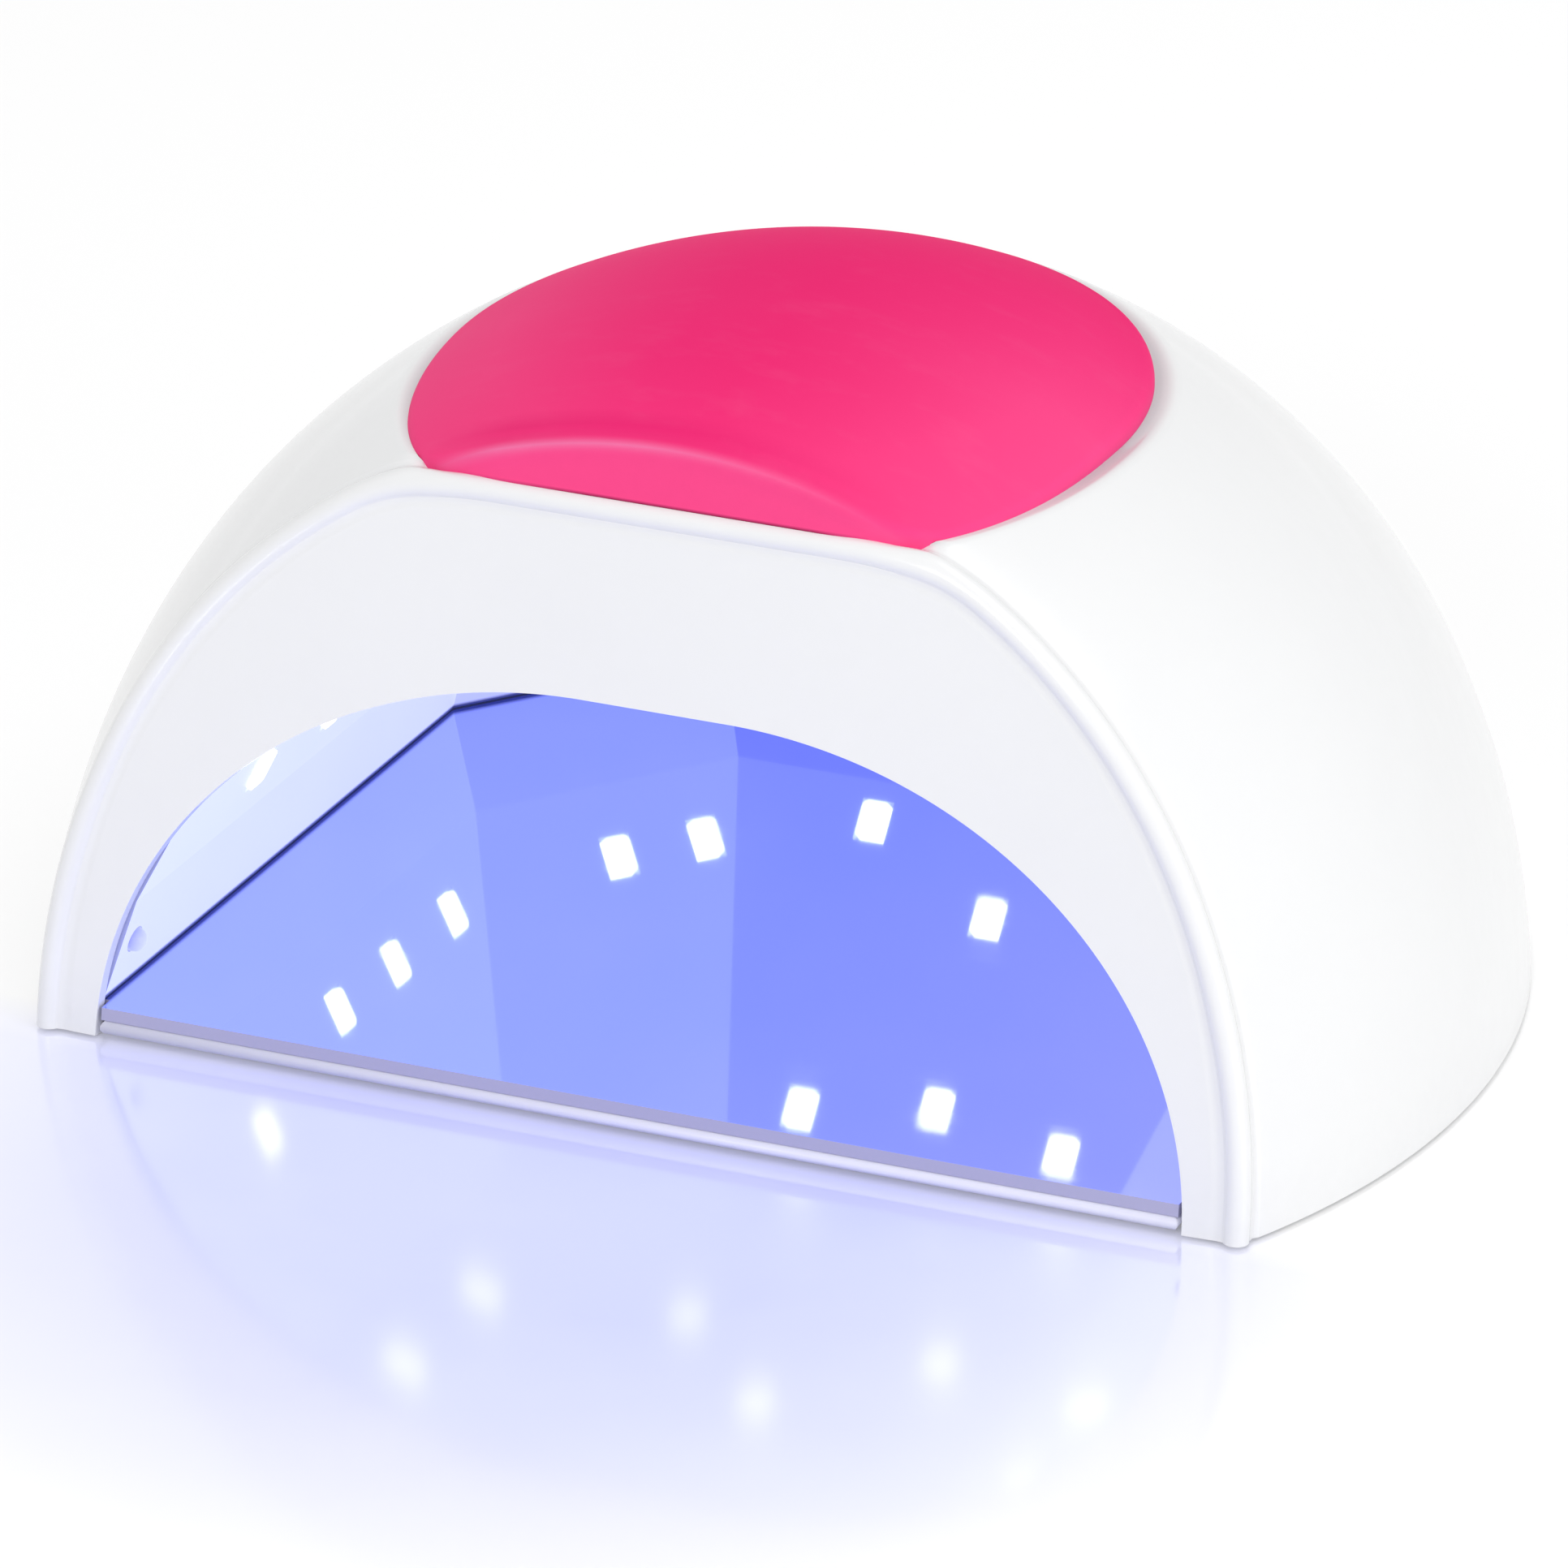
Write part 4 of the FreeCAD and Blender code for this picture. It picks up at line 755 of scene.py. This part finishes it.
def build_figure(figure, index, along, material):
    """One seven-bar figure on the display module, each bar a flat lozenge with chamfered ends."""
    half, thick, gap, slant = 2.3 * MM, 0.5 * MM, 0.35 * MM, 0.08
    depth, proud = PRINT_LIFT - MODULE_DEPTH, 0.1 * MM
    tip, flat = half - gap, half - gap - thick
    a = np.array([-tip, -flat, flat, tip, flat, -flat])
    b = np.array([0.0, thick, thick, 0.0, -thick, -thick])
    spots = [  # each bar's middle, and whether it stands upright
        (0.0, 2 * half, False), (half, half, True), (half, -half, True), (0.0, -2 * half, False),
        (-half, -half, True), (-half, half, True), (0.0, 0.0, False),
    ]
    skin = Skin()
    for lit, (x, y, upright) in zip(SEGMENTS[figure], spots):
        if not lit:
            continue
        across, up = (x - b, y + a) if upright else (x + a, y + b)
        spread = across + along + slant * up, up + WINDOW_UP
        low, top = (FACET.place(*spread, np.full(6, z)) for z in (depth, depth + proud))
        skin.add(np.stack([low, top]), closed=True).cap(top).cap(low)
    middle = FACET.place(along, WINDOW_UP, depth)
    piece = skin.make(f"figure_{index}", middle, merge=1e-7)
    for face in piece.data.polygons:
        face.use_smooth = False
    return dressed(piece, material, "housing", "display")


# ---------------------------------------------------------------- shader maths
class Amount:
    """A number that varies over a surface, with Python's operators."""

    def __init__(self, recipe, socket):
        self.recipe, self.socket = recipe, socket

    def maths(self, operation, *values):
        node = self.recipe.add("ShaderNodeMath", {"operation": operation}, dict(enumerate(values)))
        return Amount(self.recipe, node.outputs[0])

    def __add__(self, other):
        return self.maths("ADD", self, other)

    def __sub__(self, other):
        return self.maths("SUBTRACT", self, other)

    def __rsub__(self, other):
        return self.maths("SUBTRACT", other, self)

    def __mul__(self, other):
        return self.maths("MULTIPLY", self, other)

    def __truediv__(self, other):
        return self.maths("DIVIDE", self, other)

    def __pow__(self, other):
        return self.maths("POWER", self, other)

    def __gt__(self, other):
        return self.maths("GREATER_THAN", self, other)

    __radd__ = __add__
    __rmul__ = __mul__

    def size(self):
        return self.maths("ABSOLUTE", self)

    def at_least(self, other):
        return self.maths("MAXIMUM", self, other)

    def between(self, low, high):
        """0 below low, 1 above high, and an even ramp between."""
        sockets = {"Value": self, "From Min": low, "From Max": high}
        ramp = self.recipe.add("ShaderNodeMapRange", {"clamp": True}, sockets)
        return Amount(self.recipe, ramp.outputs["Result"])


DEPTH_PER_SHARE = 118.0 * MM  # about the dome's height


class Nodes:
    """A tree of nodes.  Every node comes from add()."""

    def __init__(self, tree):
        self.tree = tree
        tree.nodes.clear()

    def add(self, kind, settings=None, inputs=None):
        """A node of a kind: its settings first, then the values or links of its sockets."""
        node = self.tree.nodes.new(kind)
        for name, value in (settings or {}).items():
            setattr(node, name, value)
        for name, value in (inputs or {}).items():
            value = value.socket if isinstance(value, Amount) else value
            if isinstance(value, bpy.types.NodeSocket):
                self.tree.links.new(value, node.inputs[name])
            else:
                node.inputs[name].default_value = value
        return node

    def seen(self):
        """1 where the eye, a reflection or a clear piece looks, 0 where light is gathered."""
        path = self.add("ShaderNodeLightPath")
        rays = ("Is Camera Ray", "Is Glossy Ray", "Is Transmission Ray")
        camera, glossy, clear = (Amount(self, path.outputs[ray]) for ray in rays)
        return camera.at_least(glossy.at_least(clear))


class Recipe(Nodes):
    """The nodes of one material, with patterns on the piece's own coordinates."""

    def __init__(self, name):
        self.material = bpy.data.materials.new(name)
        self.material.use_nodes = True
        super().__init__(self.material.node_tree)
        self.spot = self.add("ShaderNodeTexCoord").outputs["Object"]

    def noise(self, scale, detail=2.0, roughness=0.5, at=None):
        sockets = {"Vector": at or self.spot, "Scale": scale}
        sockets.update({"Detail": detail, "Roughness": roughness})
        return Amount(self, self.add("ShaderNodeTexNoise", {}, sockets).outputs["Fac"])

    def cells(self, scale):
        sockets = {"Vector": self.spot, "Scale": scale}
        return Amount(self, self.add("ShaderNodeTexVoronoi", {}, sockets).outputs["Distance"])

    def split(self, vector):
        node = self.add("ShaderNodeSeparateXYZ", {}, {"Vector": vector})
        return [Amount(self, node.outputs[i]) for i in range(3)]

    def axes(self):
        """The object's X, Y and Z at the surface."""
        return self.split(self.spot)

    def below_dome(self):
        """Depth under the dome near its top: one less its equation's root, times the height."""
        x, y, z = self.axes()
        square = (x / HALF_WIDTH) ** 2 + ((y - DOME_Y) / HALF_DEPTH) ** 2 + (z / DOME_HEIGHT) ** 2
        return (1.0 - square**0.5) * DEPTH_PER_SHARE

    def behind_front(self):
        """Distance behind the front plane."""
        _, y, z = self.axes()
        return (y - FRONT_Y) * math.cos(LEAN) - z * math.sin(LEAN)

    def facing(self):
        """The surface's own normal as X, Y and Z."""
        return self.split(self.add("ShaderNodeTexCoord").outputs["Normal"])

    def stretched(self, x, y, z):
        """The object's coordinates, scaled along each axis."""
        sockets = {"Vector": self.spot, "Scale": (x, y, z)}
        return self.add("ShaderNodeMapping", {}, sockets).outputs["Vector"]

    def mix(self, factor, first, second):
        """From the first colour to the second: sockets 6 and 7 of a colour Mix node."""
        sockets = {0: factor, 6: as_colour(first), 7: as_colour(second)}
        return self.add("ShaderNodeMix", {"data_type": "RGBA"}, sockets).outputs[2]

    def bump(self, height, distance, strength=1.0):
        sockets = {"Height": height, "Distance": distance, "Strength": strength}
        return self.add("ShaderNodeBump", {}, sockets).outputs["Normal"]

    def surface(self, **sockets):
        """Ends the recipe in a Principled shader and returns the material."""
        inputs = {name.replace("_", " "): as_colour(value) for name, value in sockets.items()}
        shader = self.add("ShaderNodeBsdfPrincipled", {}, inputs)
        self.add("ShaderNodeOutputMaterial", {}, {"Surface": shader.outputs[0]})
        return self.material


def as_colour(value):
    """A colour given as three numbers, made opaque; anything else as it is."""
    return (*value, 1.0) if isinstance(value, tuple) and len(value) == 3 else value


# ---------------------------------------------------------------- finishes
def glossy_shell():
    """White ABS: faint clouding and ripple, dust towards the rim, and painted shade in the channel
    round the pad.
    """
    r = Recipe("glossy_white_abs")
    _, _, z = r.axes()
    cloud = r.noise(28.0, 3.0)
    dust = (1.0 - z.between(0.0, 0.012)) * r.noise(420.0, 4.0) * 0.3
    # Painted shade: grey in the channel round the pad, where the pad's side shades the shell.
    painted_channel_shade = r.below_dome().between(0.15 * MM, 1.8 * MM) * z.between(90.0 * MM, 94.0 * MM)
    painted_channel_shade = painted_channel_shade * r.behind_front().between(3.0 * MM, 7.0 * MM)
    colour = r.mix(cloud, (0.865, 0.87, 0.88), (0.895, 0.90, 0.905))
    colour = r.mix(dust, colour, (0.70, 0.705, 0.72))
    colour = r.mix(painted_channel_shade * 0.85, colour, (0.47, 0.48, 0.51))
    return r.surface(
        Base_Color=colour,
        Roughness=0.17 + cloud * 0.07 + dust * 0.3,
        Normal=r.bump(r.noise(260.0, 2.0), 0.00012, 0.25),
        Coat_Weight=0.35,
        Coat_Roughness=0.06,
        IOR=1.5,
    )


def silicone_pad():
    """Satin pink silicone: velvety fine grain, slow drift of tone, faint rub marks.

    Light and shade are painted on: it is paler to the left and right and where its edge rolls
    down, deeper on the crown and behind.  The rib along its front edge has a painted highlight,
    with a band of painted shade behind it, and a painted shadow line darkens its foot at the bead.
    """
    r = Recipe("satin_pink_silicone")
    x, y, z = r.axes()
    drift = r.noise(16.0, 2.0)
    rubbed = r.noise(90.0, 5.0, 0.62, r.stretched(1.0, 2.4, 1.0)).between(0.52, 0.74)
    painted_crown_shade = ((z - PAD_RIM_Z) / (DOME_HEIGHT - PAD_RIM_Z)).between(0.45, 1.0)
    below, behind = r.below_dome(), r.behind_front()
    colour = r.mix(drift.between(0.3, 0.7), (0.95, 0.032, 0.200), (0.98, 0.042, 0.224))
    # Painted light: paler to the left and right.
    colour = r.mix(x.between(-0.010, -0.058) * 0.75, colour, (0.97, 0.095, 0.275))
    colour = r.mix(x.between(0.005, 0.058) * 0.8, colour, (1.0, 0.085, 0.290))
    # Painted shade: deeper on the crown and behind.
    colour = r.mix(painted_crown_shade * 0.35, colour, (0.84, 0.004, 0.140))
    colour = r.mix(y.between(-0.040, 0.020) * 0.9, colour, (0.95, 0.000, 0.165))
    colour = r.mix(rubbed * 0.10, colour, (0.97, 0.16, 0.34))
    # Painted highlight: paler where the edge rolls down below the dome.
    colour = r.mix(below.between(0.3 * MM, 1.6 * MM) * 0.8, colour, (0.97, 0.080, 0.275))
    away = (behind - below).size()
    along = x.between(0.040, -0.005) * x.between(-0.041, -0.028)
    # Painted shade: a deeper band behind the rib along the front.
    shade = (1.0 - ((behind - 4.0 * MM).size()).between(0.0, 3.4 * MM)) * along
    colour = r.mix(shade * 0.45, colour, (0.80, 0.010, 0.150))
    # Painted highlight along the rib's crest.
    crest = (1.0 - away.between(0.0, 1.7 * MM)) ** 1.6 * along
    colour = r.mix(crest * 0.75, colour, (0.88, 0.22, 0.45))
    # Painted shadow: a dark line under the pad's front where it meets the bead.
    gap = z.between(99.95 * MM, 99.45 * MM) * x.between(-0.036, -0.012) * x.between(0.034, 0.024)
    colour = r.mix(gap * 0.85, colour, (0.16, 0.01, 0.04))
    grain = r.noise(2600.0, 2.0)
    return r.surface(
        Base_Color=colour,
        Roughness=0.56 + rubbed * 0.08 + grain * 0.06,
        Normal=r.bump(grain, 0.00004, 0.35),
        Sheen_Weight=0.03,
        Sheen_Roughness=0.4,
        Sheen_Tint=(1.0, 0.55, 0.75),
        IOR=1.36,
        Specular_IOR_Level=0.04,
    )


def lit_liner():
    """The chamber's pale blue satin with its diodes' light painted on, brighter where a facet faces
    down and forward.
    """
    r = Recipe("lit_blue_chamber")
    _, _, z = r.axes()
    across, ahead, above = r.facing()
    soft = r.noise(24.0, 3.0)
    streak = r.noise(60.0, 3.0, 0.5, r.stretched(1.0, 0.15, 1.0))
    # Painted light: the glow is brighter or darker by which way a facet faces.
    painted_facet_light = across.size() * 0.30 - across * 0.02 + ahead * 0.22 - above * 0.26
    # Painted shade: dark navy along the seam with the mirror, with the glow cut down there.
    seam = 1.0 - z.between(5.7 * MM, 6.3 * MM)
    # A painted glow stands for the diodes' light falling on the liner.
    glow = (0.36 + z.between(0.0, 0.07) * 0.08 + soft * 0.08 + painted_facet_light) * (1.0 - seam * 0.93)
    colour = r.mix(streak * 0.5, (0.26, 0.29, 0.62), (0.33, 0.36, 0.70))
    colour = r.mix(seam, colour, (0.006, 0.020, 0.20))
    return r.surface(
        Base_Color=colour,
        Roughness=0.30 + streak * 0.12,
        Emission_Color=r.mix(glow, (0.0, 0.0, 0.0), (0.70, 0.74, 1.0)),
        Emission_Strength=1.0,
        Normal=r.bump(r.noise(700.0, 2.0), 0.00005, 0.3),
    )


def mirror_face():
    """Silvered blue plate: mirror on top, satin lilac on its cut edge, faint smears, a painted
    paler reflection to the right.
    """
    r = Recipe("mirror_plate")
    x, _, z = r.axes()
    top = z > (mirror_high.z - 0.02 * MM)
    smear = r.noise(36.0, 4.0, 0.6, r.stretched(1.0, 3.0, 1.0)).between(0.5, 0.8)
    # Painted reflection: the tint grows paler towards the right, with a random drift of tone.
    painted_reflection_and_tone = x.between(0.0, 0.09) * 0.6 + r.noise(22.0) * 0.3
    tint = r.mix(painted_reflection_and_tone, (0.44, 0.53, 1.0), (0.62, 0.62, 1.0))
    colour = r.mix(top, (0.43, 0.42, 0.62), tint)
    return r.surface(
        Base_Color=colour,
        Metallic=top * 0.96,
        Roughness=0.42 - top * 0.38 + smear * 0.05,
        Normal=r.bump(r.noise(14.0, 1.0), 0.0002, 0.06),
    )


def led_lens():
    """Light source: bright face with a fine lattice of dies under a milky lens."""
    r = Recipe("lit_diode")
    lattice = r.cells(1400.0).between(0.1, 0.5)
    colour = r.mix(lattice, (0.93, 0.95, 0.90), (1.0, 1.0, 1.0))
    return r.surface(
        Base_Color=(0.9, 0.9, 0.88),
        Roughness=0.25 + lattice * 0.1,
        Emission_Color=colour,
        Emission_Strength=2.0,
    )


def plain_moulding(name, dark, light, roughness, scale=60.0, metallic=0.0):
    """Mottled moulding or metal with a fine grain."""
    r = Recipe(name)
    mottle = r.noise(scale, 4.0)
    fine = r.noise(900.0, 2.0)
    return r.surface(
        Base_Color=r.mix(mottle, dark, light),
        Metallic=metallic,
        Roughness=roughness + fine * 0.12,
        Normal=r.bump(fine, 0.00004, 0.35),
    )


def base_plastic():
    """Milky base, with the chamber's lilac light painted along its rolled front edge."""
    r = Recipe("milky_base")
    _, y, _ = r.axes()
    # Painted light: the chamber's lilac light on the rolled front edge.
    front = 1.0 - y.between(FRONT_Y, FRONT_Y + 0.012)
    cloud = r.noise(40.0, 3.0)
    colour = r.mix(front * 0.7, (0.80, 0.80, 0.86), (0.80, 0.80, 0.98))
    return r.surface(
        Base_Color=colour,
        Roughness=0.28 + cloud * 0.1,
        Normal=r.bump(r.noise(500.0), 0.00004, 0.25),
    )


def circuit_board():
    """Green solder mask with copper tracks below it."""
    r = Recipe("circuit_board")
    sockets = {"Vector": r.spot, "Scale": 160.0, "Distortion": 6.0}
    waves = r.add("ShaderNodeTexWave", {"wave_type": "BANDS"}, sockets)
    tracks = Amount(r, waves.outputs["Fac"]).between(0.62, 0.7)
    return r.surface(
        Base_Color=r.mix(tracks, (0.010, 0.105, 0.045), (0.03, 0.20, 0.08)),
        Roughness=0.32 + tracks * 0.1,
        Normal=r.bump(tracks, 0.00005, 0.5),
    )


def inlet_finish():
    """Black socket with a nickel centre pin."""
    r = Recipe("socket_and_pin")
    x, _, z = r.axes()
    pin = 1.0 - ((x * x + (z - INLET_Z) * (z - INLET_Z)) > (1.3 * MM) ** 2)
    wear = r.noise(500.0, 4.0)
    colour = r.mix(pin, (0.018, 0.018, 0.020), (0.72, 0.70, 0.66))
    return r.surface(Base_Color=colour, Metallic=pin, Roughness=0.38 - pin * 0.16 + wear * 0.12)


def smoked_window():
    """Dark glass over the figures, with faint wipe marks."""
    r = Recipe("smoked_window")
    wiped = r.noise(120.0, 4.0, 0.6, r.stretched(3.0, 1.0, 1.0))
    return r.surface(
        Base_Color=r.mix(wiped, (0.012, 0.010, 0.020), (0.030, 0.026, 0.045)),
        Roughness=0.06 + wiped * 0.06,
        Alpha=0.32,
    )


def lit_figures():
    """The display's bars: cold white light, a little uneven."""
    r = Recipe("lit_figures")
    flicker = r.noise(900.0)
    return r.surface(
        Base_Color=(0.05, 0.02, 0.02),
        Roughness=0.4,
        Emission_Color=r.mix(flicker, (0.75, 0.80, 1.0), (0.92, 0.95, 1.0)),
        Emission_Strength=1.8,
    )


# ---------------------------------------------------------------- stage, camera and light
WHITE = (1.0, 1.0, 1.0, 1.0)
AMBIENT = 0.62  # the world's light on the object; where it is seen it is white


def stand(piece, location, aim):
    """Stands a camera or a lamp at a place, facing another."""
    piece.location = location
    piece.rotation_mode = "QUATERNION"
    piece.rotation_quaternion = (aim - location).to_track_quat("-Z", "Y")


def build_camera():
    """The view from in front, to the right and above, aimed a little past the middle."""
    turn, rise, distance = math.radians(22.74), math.radians(23.94), 2.0
    middle, aside, under = Vector((0.0, -35.5 * MM, 50.0 * MM)), 0.672 * MM, 13.92 * MM
    right = Vector((math.cos(turn), math.sin(turn), 0.0))
    level = math.cos(rise)
    back = Vector((math.sin(turn) * level, -math.cos(turn) * level, math.sin(rise)))
    up = back.cross(right)
    data = bpy.data.cameras.new("view")
    data.sensor_width, data.lens = 36.0, 293.9
    data.clip_start, data.clip_end = 0.05, 50.0
    camera = in_scene("view", data)
    stand(camera, middle + back * distance, middle + right * aside - up * under)
    bpy.context.scene.camera = camera


def build_floor():
    """A wide sheet of glossy white laminate, with a painted pool of lilac light in front of the
    light chamber.

    The pool is half an ellipse that fades outwards.  To the eye and in reflections the sheet is
    lifted, more so further away, so that it meets the white behind it.
    """
    reach = 6.0
    mesh = bpy.data.meshes.new("floor")
    corners = [(-reach, -reach, 0), (reach, -reach, 0), (reach, reach, 0), (-reach, reach, 0)]
    mesh.from_pydata(corners, [], [(0, 1, 2, 3)])
    floor = in_scene("floor", mesh)
    r = Recipe("white_laminate")
    x, y, _ = r.axes()
    across = (x + 0.004) / 0.118
    forward = (y - FRONT_Y + 0.020) / 0.120
    # Painted light: the chamber's lilac light, painted on the floor as a pool.
    painted_light_pool = 1.0 - (across * across + forward * forward).between(0.15, 1.3)
    painted_light_pool = painted_light_pool * (1.0 - y.between(FRONT_Y - 0.004, FRONT_Y + 0.010))
    lilac = r.mix(painted_light_pool * (0.88 + r.noise(30.0) * 0.24), (0.88, 0.88, 0.88), (0.44, 0.47, 0.92))
    matt = r.add("ShaderNodeBsdfDiffuse", {}, {"Color": lilac})
    gloss = r.add("ShaderNodeBsdfGlossy", {}, {"Color": (0.97, 0.97, 0.97, 1.0), "Roughness": 0.12})
    laid = r.add("ShaderNodeMixShader", {}, {0: 0.30, 1: matt.outputs[0], 2: gloss.outputs[0]})
    distant = (x * x + y * y).between(0.3, 9.0)
    lifted = r.seen() * (0.20 + distant * 0.3)
    lift = r.add("ShaderNodeEmission", {}, {"Color": WHITE, "Strength": lifted})
    both = r.add("ShaderNodeAddShader", {}, {0: laid.outputs[0], 1: lift.outputs[0]})
    r.add("ShaderNodeOutputMaterial", {}, {"Surface": both.outputs[0]})
    mesh.materials.append(r.material)


def build_lamp(name, location, width, height, power):
    """A soft panel of light, aimed at the middle of the object."""
    data = bpy.data.lights.new(name, "AREA")
    data.shape = "RECTANGLE"
    data.size, data.size_y, data.energy = width, height, power
    lamp = in_scene(name, data)
    lamp.visible_camera = False
    stand(lamp, Vector(location), Vector((0.0, -30.0 * MM, 50.0 * MM)))


def build_light():
    """Soft light from above, one lamp in front, and a fill from the right."""
    world = bpy.data.worlds.new("studio")
    bpy.context.scene.world = world
    world.use_nodes = True
    sky = Nodes(world.node_tree)
    strength = AMBIENT + sky.seen() * (1.0 - AMBIENT)
    background = sky.add("ShaderNodeBackground", {}, {"Color": WHITE, "Strength": strength})
    sky.add("ShaderNodeOutputWorld", {}, {"Surface": background.outputs[0]})
    build_lamp("overhead", (0.7, -0.1, 1.5), 1.3, 1.2, 5.2)
    build_lamp("front", (0.0, -1.7, 0.9), 0.5, 0.5, 6.5)
    build_lamp("right", (1.5, -0.6, 0.4), 1.0, 0.8, 5.4)


# ---------------------------------------------------------------- make everything
MOULDINGS = {  # finish: darker and lighter tone, roughness, and for some mottle and metallic
    "zinc_screw": ((0.50, 0.50, 0.51), (0.66, 0.66, 0.67), 0.24, 200.0, 1.0),
    "aluminium_strip": ((0.60, 0.61, 0.62), (0.74, 0.75, 0.76), 0.34, 90.0, 1.0),
    "black_resin": ((0.012, 0.012, 0.013), (0.035, 0.035, 0.037), 0.36),
    "lead_sleeve": ((0.02, 0.02, 0.022), (0.05, 0.05, 0.052), 0.48, 300.0),
    "faceplate_white": ((0.74, 0.75, 0.78), (0.80, 0.81, 0.83), 0.18),
    "display_black": ((0.010, 0.010, 0.012), (0.022, 0.022, 0.024), 0.5),
    "copper_coil": ((0.55, 0.21, 0.09), (0.75, 0.33, 0.16), 0.3, 800.0, 1.0),
    "can_sleeve": ((0.02, 0.03, 0.08), (0.04, 0.05, 0.12), 0.3),
    "plug_nylon": ((0.62, 0.60, 0.54), (0.74, 0.72, 0.66), 0.4),
    "nickel_magnet": ((0.55, 0.54, 0.52), (0.68, 0.67, 0.65), 0.16, 90.0, 1.0),
    "dark_receiver": ((0.02, 0.012, 0.03), (0.05, 0.03, 0.06), 0.12),
    "rubber": ((0.028, 0.028, 0.030), (0.055, 0.055, 0.058), 0.62),
    "plunger_red": ((0.42, 0.03, 0.03), (0.55, 0.05, 0.05), 0.4),
    "printed_grey": ((0.16, 0.16, 0.17), (0.24, 0.24, 0.25), 0.5),
    "cap_pink": ((0.84, 0.030, 0.165), (0.92, 0.055, 0.225), 0.34),
}
MOULDED = {  # moulding: how the names of its pieces begin
    "zinc_screw": ("board_screws", "inlet_nut", "liner_screws"),
    "aluminium_strip": ("led_strips_",),
    "black_resin": ("controller_chip", "key_switches"),
    "lead_sleeve": ("lead_left", "lead_power", "lead_right"),
    "faceplate_white": ("control_face",),
    "display_black": ("display_module",),
    "copper_coil": ("driver_coil",),
    "can_sleeve": ("capacitor",),
    "plug_nylon": ("lead_plugs",),
    "nickel_magnet": ("housing_magnets",),
    "dark_receiver": ("ir_receiver",),
    "rubber": ("rubber_feet",),
    "plunger_red": ("switch_plunger_",),
}


def paint_nodes(nodes, mouldings):
    """Finishes for the pieces that keep their own shape."""
    finishes = [(mouldings[moulding], starts) for moulding, starts in MOULDED.items()]
    finishes += [
        (lit_liner(), ("ir_emitter", "reflector_liner")),
        (mirror_face(), ("mirror_plate",)),
        (led_lens(), ("leds_",)),
        (smoked_window(), ("display_window",)),
        (circuit_board(), ("control_board",)),
        (inlet_finish(), ("dc_inlet",)),
    ]
    for finish, starts in finishes:
        for name, node in nodes.items():
            if name.startswith(starts):
                node.data.materials.clear()
                node.data.materials.append(finish)


def build_all():
    """The camera, every piece, the stage and the light."""
    build_camera()
    build_housing(glossy_shell())
    build_pad(silicone_pad())
    build_base_tray(base_plastic())
    mouldings = {name: plain_moulding(name, *tones) for name, tones in MOULDINGS.items()}
    for index, name in enumerate(BUTTONS):
        build_button(index, name, mouldings["cap_pink"])
        along, up = button_spot(index, LABEL_RING)
        build_label("label_" + name, name, along, up, 3.1 * MM, mouldings["printed_grey"])
    glow = lit_figures()
    for index, (figure, along) in enumerate((("6", -4.2 * MM), ("0", 4.2 * MM))):
        build_figure(figure, index, along, glow)
    paint_nodes(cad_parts, mouldings)
    build_floor()
    build_light()
    bpy.context.scene.view_settings.view_transform = "Standard"


build_all()
